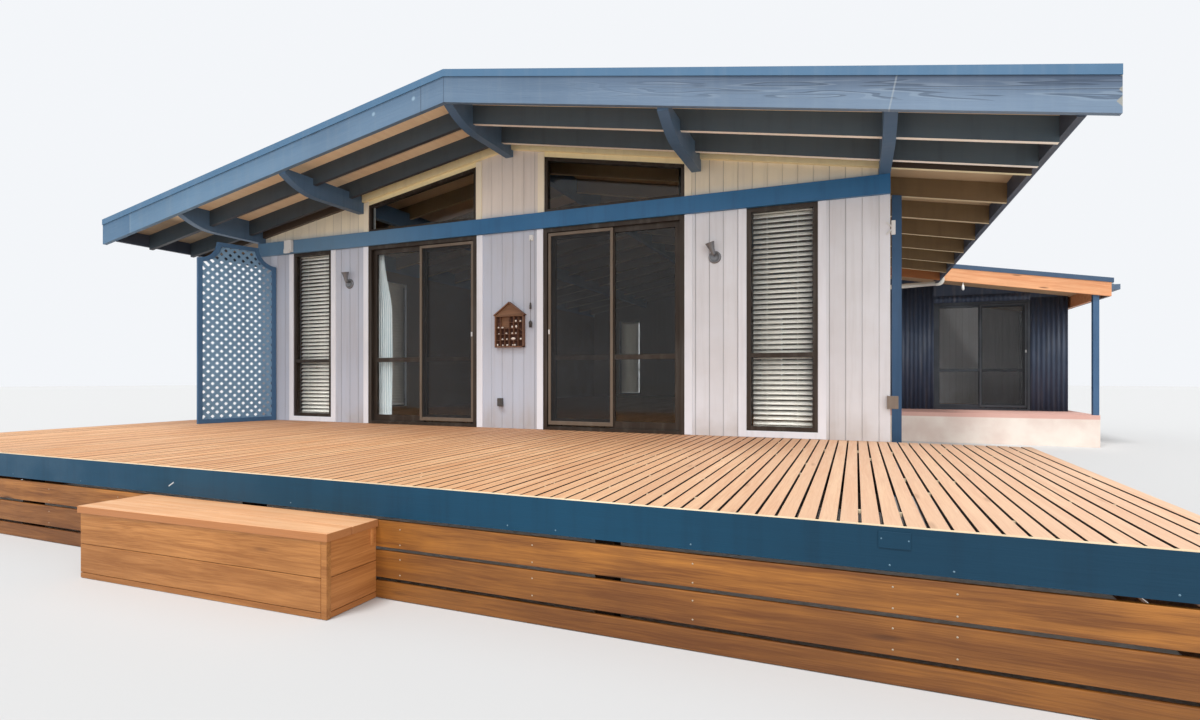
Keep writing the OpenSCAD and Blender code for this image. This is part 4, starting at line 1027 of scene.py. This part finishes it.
blind_parts, blind_rails = [], []
for axis, centre, line, into, height, tilt in (
        (0, -2.815, 0.087, 1, 2.04, 46), (0, 2.815, 0.087, 1, 2.04, 46), (1, 2.4, -3.618, 1, 2.04, 70),
        (1, 6.0, -3.618, 1, 2.04, 70), (0, -2.5, 10.913, -1, 2.04, 70), (0, 1.4, 10.913, -1, 2.04, 70),
        (1, 9.4, 6.883, -1, 1.7, 70)):
    ends, inward = np.full((2, 2), line), np.full(2, float(into))
    ends[:, axis], inward[axis] = (centre - HALF_BLIND, centre + HALF_BLIND), 0.0
    z_low, z_high = DECK + 0.085, DECK + 0.06 + height - 0.005
    blind_parts.append(slats(ends, inward, z_low + 0.0454, z_high - 0.05, tilt))
    blind_rails += rails(*ends, z_high, z_low)
blind_white = metal_paint("blind_white", rgb(254, 248, 238), rough=0.5, dust=0.06)
make_piece("blind_slats", joined(*blind_parts), blind_white, wall=0.0008, smooth=True,
           stands_for="blinds")
make_piece("blind_rails", blocks(blind_rails), blind_white, bevel=0.0006)

# %% [markdown]
# A pale blue cotton curtain hangs behind the left doors, drawn together at its end of the track.
# Cloth does not stretch, so where it is drawn narrower its folds are deeper: at every height the
# depth of a fold follows from the width there and from the one length that a row of cloth has.

# %% Curtain
def curtain_surface(columns=113, rows=36, folds=7, row_length=0.40):
    """Point (u, w): x = left + u * width(w), y = middle + A(w) * sin(2 pi folds u), z falls from
    the track with w. A is half the root of h^2 - (width / 2 folds)^2, with h the length of cloth
    in half a fold, and width grows from the track down as a smooth step."""
    u, w = np.linspace(0, 1, columns)[None, :], np.linspace(0, 1, rows)[:, None]
    step = np.clip((w - 0.04) / 0.36, 0, 1)
    width = 0.085 + 0.125 * step * step * (3 - 2 * step)
    half_fold = row_length / (2 * folds)
    depth = 0.5 * np.sqrt(half_fold ** 2 - (width / (2 * folds)) ** 2)
    slip = 0.35 * np.sin(5.0 * w) + 0.25 * np.sin(11.0 * w + 1.0)
    wave = np.sin(2 * np.pi * folds * u + slip)
    x = -1.895 + u * width + 0.003 * np.sin(7 * w + 9 * u)
    return np.stack([x, 0.1325 + depth * wave, DECK + 2.12 - 2.09 * w + 0 * u], axis=-1), 0.5 + 0.5 * wave


def cloth_finish():
    """Thin cotton: a soft weave in relief, and the hollows of its folds drawn darker blue as painted shade."""
    start("curtain_cotton", Sheen_Weight=0.25, Roughness=0.9)
    wear = wear_of(6.0)
    threads = use(joints, Across=split(upright())[2], Pitch=0.002, Gap=0.0008)
    # The tone that the curtain carries is the depth of its folds, so the blue coat from it is painted shade in
    # the folds.
    tint = layers(rgb(250, 253, 253), (wear["Blotch"] * 0.5, rgb(222, 236, 240)),
                  (ramp(board_tone(), 0.35, 0.95), rgb(150, 176, 188)),
                  (threads["Joint"] * 0.15, rgb(150, 176, 190)))
    return connect(tint, spread(wear["Blotch"], 0.85, 0.95), threads["Height"], 0.0003)


cloth, fold_shade = curtain_surface()
curtain = make_piece("curtain_folds", (cloth.reshape(-1, 3), grid(*cloth.shape[:2])[:, ::-1]), cloth_finish(),
                     smooth=True, tones=fold_shade.ravel(), stands_for="curtain")
dress(metal_paint("track_white", rgb(226, 226, 222), rough=0.4, dust=0.15), "curtain_track")

# %% [markdown]
# The screen at the left end of the deck is a lattice in a frame with scooped upper corners. Real
# lattice is two layers of laths, nailed across each other at 45 degrees, so it is built so: one
# layer in front of the other, with every lath's ends hidden in the frame.

# %% Lattice screen
SCREEN_W, SCREEN_TOP, SCOOP, BORDER, THICK = 0.889, 2.16, 0.21, 0.05, 0.04
turn = math.radians(16.1)
screen_at = np.array([-3.42, -THICK * math.sin(turn) - 0.0002, DECK])
across = np.array([-math.sin(turn), -math.cos(turn), 0.0])
inward = np.array([-math.cos(turn), math.sin(turn), 0.0])


def on_screen(flat, c):
    """The points (a across the screen, b up) at the depth c into it."""
    return screen_at + flat[..., :1] * across + flat[..., 1:] * np.array([0, 0, 1.0]) + c * inward


def outline(inset, arc=10):
    """The screen's edge as a loop, with a quarter circle bitten out of each upper corner."""
    r = SCOOP + inset
    start_angle = math.asin(inset / r)
    t = np.linspace(start_angle, np.pi / 2 - start_angle, arc)
    right_arc = np.column_stack([SCREEN_W - r * np.sin(t), SCREEN_TOP - r * np.cos(t)])
    left_arc = np.column_stack([r * np.cos(t), SCREEN_TOP - r * np.sin(t)])
    return np.concatenate([[[inset, inset], [SCREEN_W - inset, inset]], right_arc, left_arc])


def laths(sign, c0, c1, step=0.097, width=0.037):
    """Strips at 45 degrees, cut to the frame's inner edge plus a little, worked out for all laths
    at once: the middle line is b = b0 + sign * a, held in the rectangle and outside the scoops."""
    reach = BORDER - 0.012
    b0 = np.arange(-SCREEN_W, SCREEN_TOP + SCREEN_W, step)
    a_low = np.maximum(reach, reach - b0 if sign > 0 else b0 - SCREEN_TOP + reach)
    a_high = np.minimum(SCREEN_W - reach, SCREEN_TOP - reach - b0 if sign > 0 else b0 - reach)
    for centre in (0.0, SCREEN_W):
        # the scoop's circle meets the line where 2a^2 + 2a(sign*k - centre) + centre^2 + k^2 = r^2
        k = b0 - SCREEN_TOP
        p, q = sign * k - centre, centre ** 2 + k ** 2 - (SCOOP + reach) ** 2
        root = p * p - 2 * q
        near, far = (-p - np.sqrt(np.maximum(root, 0))) / 2, (-p + np.sqrt(np.maximum(root, 0))) / 2
        if centre:
            a_high = np.where(root > 0, np.minimum(a_high, np.where(far > a_low, near, a_high)), a_high)
        else:
            a_low = np.where(root > 0, np.maximum(a_low, np.where(near < a_high, far, a_low)), a_low)
    keep = a_high - a_low > 0.03
    b0, a_low, a_high = b0[keep], a_low[keep], a_high[keep]
    side = width / 2 / math.sqrt(2)
    quads = np.stack([np.stack([a + sign * way * side, b0 + sign * a - way * side], -1)
                      for a, way in ((a_low, 1), (a_high, 1), (a_high, -1), (a_low, -1))], axis=1)
    points = np.concatenate([on_screen(quads, c0), on_screen(quads, c1)], axis=1).reshape(-1, 3)
    box_sides = np.array([[3, 2, 1, 0], [4, 5, 6, 7], [1, 5, 4, 0], [2, 6, 5, 1], [3, 7, 6, 2], [0, 4, 7, 3]])
    return points, copies(box_sides if sign > 0 else box_sides[:, ::-1], 8, len(b0))


outer, inner = outline(0.0), outline(BORDER)
loops = np.concatenate([on_screen(outer, 0.0), on_screen(inner, 0.0), on_screen(inner, THICK),
                        on_screen(outer, THICK)])
make_piece("lattice_frame", (loops, grid(5, len(outer), wrap=True) % len(loops)),
           paint("screen_blue", rgb(60, 98, 134), rgb(34, 54, 78), along="Z", rough=0.5, chipping=0.2,
                 bare=rgb(150, 160, 166)), bevel=0.002, stands_for="lattice_screen")
make_piece("lattice_laths", joined(laths(1, 0.012, 0.018), laths(-1, 0.018, 0.024)),
           paint("lath_blue", rgb(116, 152, 182), rgb(70, 98, 126), along="Z", rough=0.55, chipping=0.3,
                 bare=rgb(170, 176, 178)))

# %% [markdown]
# A flyscreen is a narrow frame, paler than the door's, with a woven mesh. The frame is of boxes,
# and the mesh is one thin sheet whose alpha is a real weave: fine dark wires 1.6 mm apart, so it
# looks like a dark veil. A small white latch sits at hand height.

# %% Flyscreens
def mesh_finish():
    """Wires on a square grid: opaque where x or z is within a wire's width of a multiple."""
    start("fly_mesh", Roughness=0.7)
    x, _, z = split(upright())
    over, along = [use(joints, Across=part, Pitch=0.0016, Gap=0.00036)["Joint"] for part in (x, z)]
    return connect(mix(wear_of(2.0)["Blotch"], rgb(34, 38, 42), rgb(52, 56, 60)), alpha=over | along)


FLY_THICK, FLY_STILE = 0.018, 0.03
fly_mesh = mesh_finish()
bronze_light = metal_paint("bronze_light", rgb(112, 98, 84), rough=0.4, metallic=0.3, dust=0.2,
                           patch=(wing_door, rgb(62, 66, 72)))
for name in ("left_flyscreen", "right_flyscreen", "wing_flyscreen"):
    body = name + "_body"
    (x0, _, z0), (x1, y1, z1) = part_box(name)
    y0, z0 = y1 - FLY_THICK, z0 + 0.015
    make_piece(name + "_frame", blocks([
        [x0, y0, z0, x0 + FLY_STILE, y1, z1], [x1 - FLY_STILE, y0, z0, x1, y1, z1],
        [x0 + 0.029, y0 + 0.001, z0, x1 - 0.029, y1 - 0.001, z0 + 0.04],
        [x0 + 0.029, y0 + 0.001, z1 - 0.032, x1 - 0.029, y1 - 0.001, z1]]),
        bronze_light, body, bevel=0.002, stands_for=name)
    yc = (y0 + y1) / 2
    make_piece(name + "_mesh", ([[x0 + 0.025, yc, z0 + 0.035], [x1 - 0.025, yc, z0 + 0.035],
                                 [x1 - 0.025, yc, z1 - 0.028], [x0 + 0.025, yc, z1 - 0.028]], [[0, 1, 2, 3]]),
               fly_mesh, body)
    grip = x0 + 0.015 if name == "right_flyscreen" else x1 - 0.015
    make_piece(name + "_grip", blocks([[grip - 0.008, y0 - 0.014, DECK + 0.995, grip + 0.008, y0, DECK + 1.045]]),
               metal_paint(name + "_white", rgb(226, 226, 224), dust=0.1), body, bevel=0.004)

# %% [markdown]
# Each wall lamp is a round plate with a bright rim, a short arm and a flared shade that opens
# upward. They are turned parts, so each is a profile carried round its own axis. The right one
# leans. A small white lamp hangs under the porch's orange fascia, and is one profile too: a short
# holder with a round glass below it.

# %% Lamps
LAMP_X, LAMP_Z, LEAN, PORCH_LAMP_X = 2.2125, DECK + 1.672, -16, 5.16


def lamp_parts(x, lean):
    """Plate, arm and shade of one lamp, as three turned profiles."""
    plate = turned([[0.0001, 0.0], [0.058, 0.0], [0.058, 0.010], [0.052, 0.018], [0.044, 0.019], [0.040, 0.014],
                    [0.020, 0.014], [0.0001, 0.016]], (x, 0.0, LAMP_Z), (0, -1, 0), 40)
    arm = turned([[0.0001, 0.01], [0.012, 0.012], [0.012, 0.055], [0.014, 0.060], [0.0001, 0.064]],
                 (x, 0.0, LAMP_Z + 0.02), (0, -1, 0), 16)
    tilt = math.radians(lean)
    head = turned([[0.0001, 0.0], [0.014, 0.001], [0.018, 0.008], [0.020, 0.030], [0.026, 0.060], [0.036, 0.095],
                   [0.044, 0.120], [0.0455, 0.121], [0.042, 0.118], [0.034, 0.093], [0.024, 0.060],
                   [0.017, 0.032], [0.0001, 0.030]], (x, -0.055, LAMP_Z + 0.012),
                  (math.sin(tilt), -0.2, math.cos(tilt)))
    return [plate, arm, head]


make_piece("lamps", joined(*lamp_parts(-LAMP_X, 0), *lamp_parts(LAMP_X, LEAN)),
           metal_paint("lamp_steel", rgb(124, 126, 130), rough=0.3, metallic=0.5, dust=0.2),
           smooth=True, stands_for="wall_lights")
porch_points, porch_faces = turned(
    [[0.0001, 0.001], [0.008, 0.001], [0.008, -0.05], [0.018, -0.056], [0.02, -0.08], [0.022, -0.11],
     [0.018, -0.13], [0.009, -0.14], [0.0001, -0.142]],
    (PORCH_LAMP_X, PORCH + 0.022, RIDGE - 0.225 - WING_FALL * PORCH_LAMP_X), (0, 0, 1), 20)
make_piece("porch_lamp", (porch_points, porch_faces[:, ::-1]),
           metal_paint("lamp_white", rgb(236, 234, 228), rough=0.3, dust=0.1), smooth=True)

# %% [markdown]
# The white downpipe leaves the right gutter, runs back to the wall almost level and goes down to
# the ground. It is a tube carried along a line, and at each bend the line follows a small curve
# inside a wider socket, as moulded bends have.

# %% Downpipe
def bend(before, corner, after, reach=0.055, socket=0.035, count=6):
    """Points of one bend: with a and b at reach from the corner, (1-s)^2 a + 2s(1-s) corner +
    s^2 b, and the socket's two rims. The second part of the result is how far it is wider."""
    back, on = [(end - corner) / np.linalg.norm(end - corner) for end in (before, after)]
    s = np.linspace(0, 1, count)[:, None]
    curve = (1 - s) ** 2 * (corner + reach * back) + 2 * s * (1 - s) * corner + s ** 2 * (corner + reach * on)
    rims = [corner + (reach + socket) * way for way in (back, on)]
    points = np.vstack([rims[0], rims[0] - 0.001 * back, curve, rims[1] - 0.001 * on, rims[1]])
    return points, np.concatenate([[0.0], np.full(count + 2, 0.005), [0.0]])


def swept(path, radii, sides=20):
    """A tube along a path that lies in a plane square to y: point + r * (cos t * n + sin t * y),
    with n square to y and to the path."""
    ahead = np.gradient(path, axis=0)
    ahead /= np.linalg.norm(ahead, axis=1)[:, None]
    n = np.cross([0.0, 1.0, 0.0], ahead)
    t = np.linspace(0, 2 * np.pi, sides, endpoint=False)
    ring = np.cos(t)[None, :, None] * n[:, None] + np.sin(t)[None, :, None] * np.array([0.0, 1.0, 0.0])
    return (path[:, None] + radii[:, None, None] * ring).reshape(-1, 3), grid(len(path), sides, wrap=True)


PIPE_RADIUS, PIPE_INSET = 0.04, 0.049
pipe_low, pipe_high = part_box("downpipe")
pipe_y, pipe_top = (pipe_low[1] + pipe_high[1]) / 2, pipe_high[2]
outlet_x, drop_x = pipe_high[0] - PIPE_INSET, pipe_low[0] + PIPE_INSET
turns = np.array([[outlet_x, pipe_y, pipe_top], [outlet_x, pipe_y, pipe_top - 0.125],
                  [drop_x, pipe_y, pipe_top - 0.165], [drop_x, pipe_y, 0.001]])
upper, lower = bend(*turns[:3]), bend(*turns[1:])
make_piece("rain_pipe", swept(np.vstack([turns[:1], upper[0], lower[0], turns[3:]]),
                              PIPE_RADIUS + np.concatenate([[0.0], upper[1], lower[1], [0.0]])),
           metal_paint("pipe_white", rgb(230, 224, 212), dust=0.18), smooth=True,
           stands_for="downpipe")

# %% [markdown]
# Four small things are fixed to the front wall: a white sensor box on the beam, a dark outlet low
# down, and at the right corner a white bracket with crossed arms over a grey box. A thin rod with
# two small bells hangs from a white hook between the doors. Pale beads edge the raked windows.

# %% Fittings on the wall
def plates(quads, y0, y1):
    """Flat plates from four (x, z) corners each, counterclockwise from the front, from y0 to y1."""
    quads = np.asarray(quads, float)
    points = np.empty((len(quads), 8, 3))
    for part, y in ((points[:, :4], y0), (points[:, 4:], y1)):
        part[..., 0], part[..., 2], part[..., 1] = quads[..., 0], quads[..., 1], np.reshape(y, (-1, 1))
    one = np.array([[0, 1, 2, 3], [4, 7, 6, 5], [0, 4, 5, 1], [1, 5, 6, 2], [2, 6, 7, 3], [3, 7, 4, 0]])
    return points.reshape(-1, 3), copies(one, 8, len(quads))


def bars(table):
    """Bars in an upright plane, as plate corners: each row is x and z of both ends, and the width.
    The corners are the ends moved by half the width, square to the bar."""
    table = np.asarray(table, float)
    first, last, width = table[:, 0:2], table[:, 2:4], table[:, 4:5]
    along = (last - first) / np.linalg.norm(last - first, axis=1)[:, None]
    side = np.column_stack([-along[:, 1], along[:, 0]]) * width / 2
    return np.stack([first - side, last - side, last + side, first + side], axis=1)


box_white = metal_paint("box_white", rgb(224, 224, 222), rough=0.4, dust=0.15)
box_grey = metal_paint("box_grey", rgb(128, 114, 102), rough=0.5)
outlet_dark = metal_paint("outlet_dark", rgb(66, 62, 60), rough=0.45)
whites = blocks([[-3.209, -0.078, 2.715, -3.09, -0.0405, 2.861],
                 [-3.195, -0.098, 2.697, -3.105, -0.074, 2.745],
                 [3.712, -0.02, 2.352, 3.744, -0.009, 2.472],
                 [0.25, -0.022, 2.585, 0.292, 0.001, 2.645], [0.266, -0.036, 2.594, 0.274, -0.021, 2.602]])
arms = plates(bars([[3.728, 2.412, 3.676, 2.462, 0.014], [3.728, 2.412, 3.676, 2.36, 0.014]]), -0.012, 0.0005)
make_piece("white_fittings", joined(whites, arms), box_white, bevel=0.002,
           stands_for="wall_fittings")
make_piece("grey_box", blocks([[3.684, -0.034, 0.882, 3.766, 0.0005, 0.99],
                               [3.68, -0.035, 0.88, 3.69, 0.0005, 0.992]]),
           box_grey, bevel=0.002)
make_piece("outlet", blocks([[-0.137, -0.03, 0.84, -0.077, 0.0005, 0.922],
                             [-0.13, -0.04, 0.835, -0.06, -0.029, 0.862]]),
           outlet_dark, bevel=0.003)
chime = turned([[0.0001, 1.07], [0.016, 1.071], [0.016, 1.104], [0.02, 1.108], [0.018, 1.128], [0.006, 1.142],
                [0.0018, 1.144], [0.0018, 1.265], [0.012, 1.266], [0.011, 1.3], [0.008, 1.328], [0.0018, 1.334],
                [0.0018, 1.996], [0.0001, 1.997]], (0.27, -0.03, DECK), (0, 0, 1), 12)
make_piece("wall_chime", chime, outlet_dark, smooth=True)
beads = bars([[side * 1.849, DECK + 2.572, side * 0.468, DECK + 2.818, 0.014] for side in (-1, 1)]
             + [[side * 1.866, DECK + 2.31, side * 1.866, DECK + 2.566, 0.02] for side in (-1, 1)])
make_piece("window_beads", plates(beads, 0.03, 0.042), box_white)

# %% [markdown]
# The shelf between the doors is a little house of pigeonholes under two roof boards. Its grid has
# six columns and five rows. Some dividers are missing, and shells lie in the holes.

# %% Shelf of pigeonholes
CASE_BOARD = 0.012
LEFT, RIGHT, LOW, TOP, APEX = -0.159, 0.192, DECK + 0.866, DECK + 1.206, DECK + 1.352
columns = np.linspace(LEFT + CASE_BOARD, RIGHT - CASE_BOARD, 7)
levels = np.linspace(LOW + CASE_BOARD, TOP - CASE_BOARD, 6)
case = [[LEFT, -0.045, LOW, LEFT + CASE_BOARD, -0.0005, TOP],
        [RIGHT - CASE_BOARD, -0.045, LOW, RIGHT, -0.0005, TOP],
        [LEFT, -0.045, LOW, RIGHT, -0.0005, LOW + CASE_BOARD]]
for k, filled in enumerate(("01234", "012", "01234", "0234", "01234"), 1):
    case += [[columns[k] - 0.002, -0.042, levels[int(r)], columns[k] + 0.002, -0.006, levels[int(r) + 1]]
             for r in filled]
for r, first, last in ((1, 0, 6), (2, 0, 6), (3, 0, 5), (4, 3, 6)):
    case.append([columns[first], -0.043, levels[r] - 0.002, columns[last], -0.006, levels[r] + 0.002])
middle = (LEFT + RIGHT) / 2
roof = plates(bars([[LEFT - CASE_BOARD, TOP + 0.002, middle + 0.003, APEX - 0.006, CASE_BOARD],
                    [middle - 0.003, APEX - 0.006, RIGHT + CASE_BOARD, TOP + 0.002, CASE_BOARD],
                    [columns[5], levels[3] + 0.004, columns[6], levels[2] + 0.03, 0.004]]), -0.05, -0.0005)
make_piece("letter_case", joined(blocks(case), roof),
           timber("shelf_brown", rgb(136, 95, 69), rgb(88, 57, 41), along="Z", rough=0.5),
           bevel=0.0008, stands_for="letter_shelf")


def upright_quad(left, right, low, high, lean=0.0):
    """The corners of a plate in the wall's plane; lean draws its upper corners in."""
    return [[left, low], [right, low], [right - lean, high], [left + lean, high]]


# The back of the pigeonholes is drawn dark brown: painted shade inside the holes.
make_piece("case_back", plates([upright_quad(LEFT + 0.004, RIGHT - 0.004, LOW + 0.004, TOP)], -0.006, -0.0006),
           timber("shelf_back_shaded", rgb(96, 56, 40), rgb(62, 34, 26)))
backs = plates([upright_quad(LEFT, RIGHT, TOP, APEX - CASE_BOARD, middle - 0.006 - LEFT),
                upright_quad(LEFT, RIGHT, TOP - CASE_BOARD, TOP + 0.002),
                upright_quad(columns[1], columns[3], levels[3], TOP - 0.013)],
               [-0.03, -0.046, -0.012], [-0.0006, -0.0006, -0.0062])
make_piece("case_panels", backs, timber("shelf_pale", rgb(146, 104, 72), rgb(104, 70, 46), rough=0.5),
           bevel=0.0008)


def pebbles(centres, radii, rows=6, columns=8):
    """Balls: r * (cos t sin p, sin t sin p, cos p), each squashed to its own radii."""
    p, t = np.linspace(0.02, np.pi - 0.02, rows)[:, None], np.linspace(0, 2 * np.pi, columns, endpoint=False)
    ball = np.stack([np.cos(t) * np.sin(p), np.sin(t) * np.sin(p), np.cos(p) + 0 * t], axis=-1).reshape(-1, 3)
    points = (centres[:, None] + ball[None] * radii[:, None]).reshape(-1, 3)
    return points, copies(grid(rows, columns, wrap=True)[:, ::-1], rows * columns, len(centres))


# Each shell: its place in columns, its row, and its half width and half height in millimetres.
shells = np.array([[0.5, 3, 11, 10], [1.4, 3, 17, 8], [4.4, 4, 12, 12], [5.4, 4, 14, 9], [3.6, 3, 10, 14],
                   [4.5, 3, 12, 16], [2.3, 2, 13, 9], [3.6, 2, 12, 9], [4.4, 2, 12, 8], [1.4, 1, 15, 9],
                   [2.4, 1, 12, 9], [3.8, 1, 30, 14], [5.5, 1, 14, 10], [0.3, 0, 9, 13], [1.5, 0, 11, 9],
                   [2.5, 0, 14, 10], [4.0, 0, 26, 10], [0.6, 2, 9, 6]])
radii = np.column_stack([shells[:, 2], 8 + 2 * rng.random(len(shells)), shells[:, 3]]) / 1000
centres = np.column_stack([columns[0] + shells[:, 0] * (columns[1] - columns[0]), np.full(len(shells), -0.028),
                           levels[shells[:, 1].astype(int)] + 0.0022 + radii[:, 2]])
make_piece("shelf_shells", pebbles(centres, radii), metal_paint("shell_white", rgb(240, 226, 214), rough=0.5),
           smooth=True)

# %% [markdown]
# The new pieces stand a little proud of the solids in places, within the model's overall size.

# %% Finish
print("without a finish", sorted(set(nodes) - dressed))
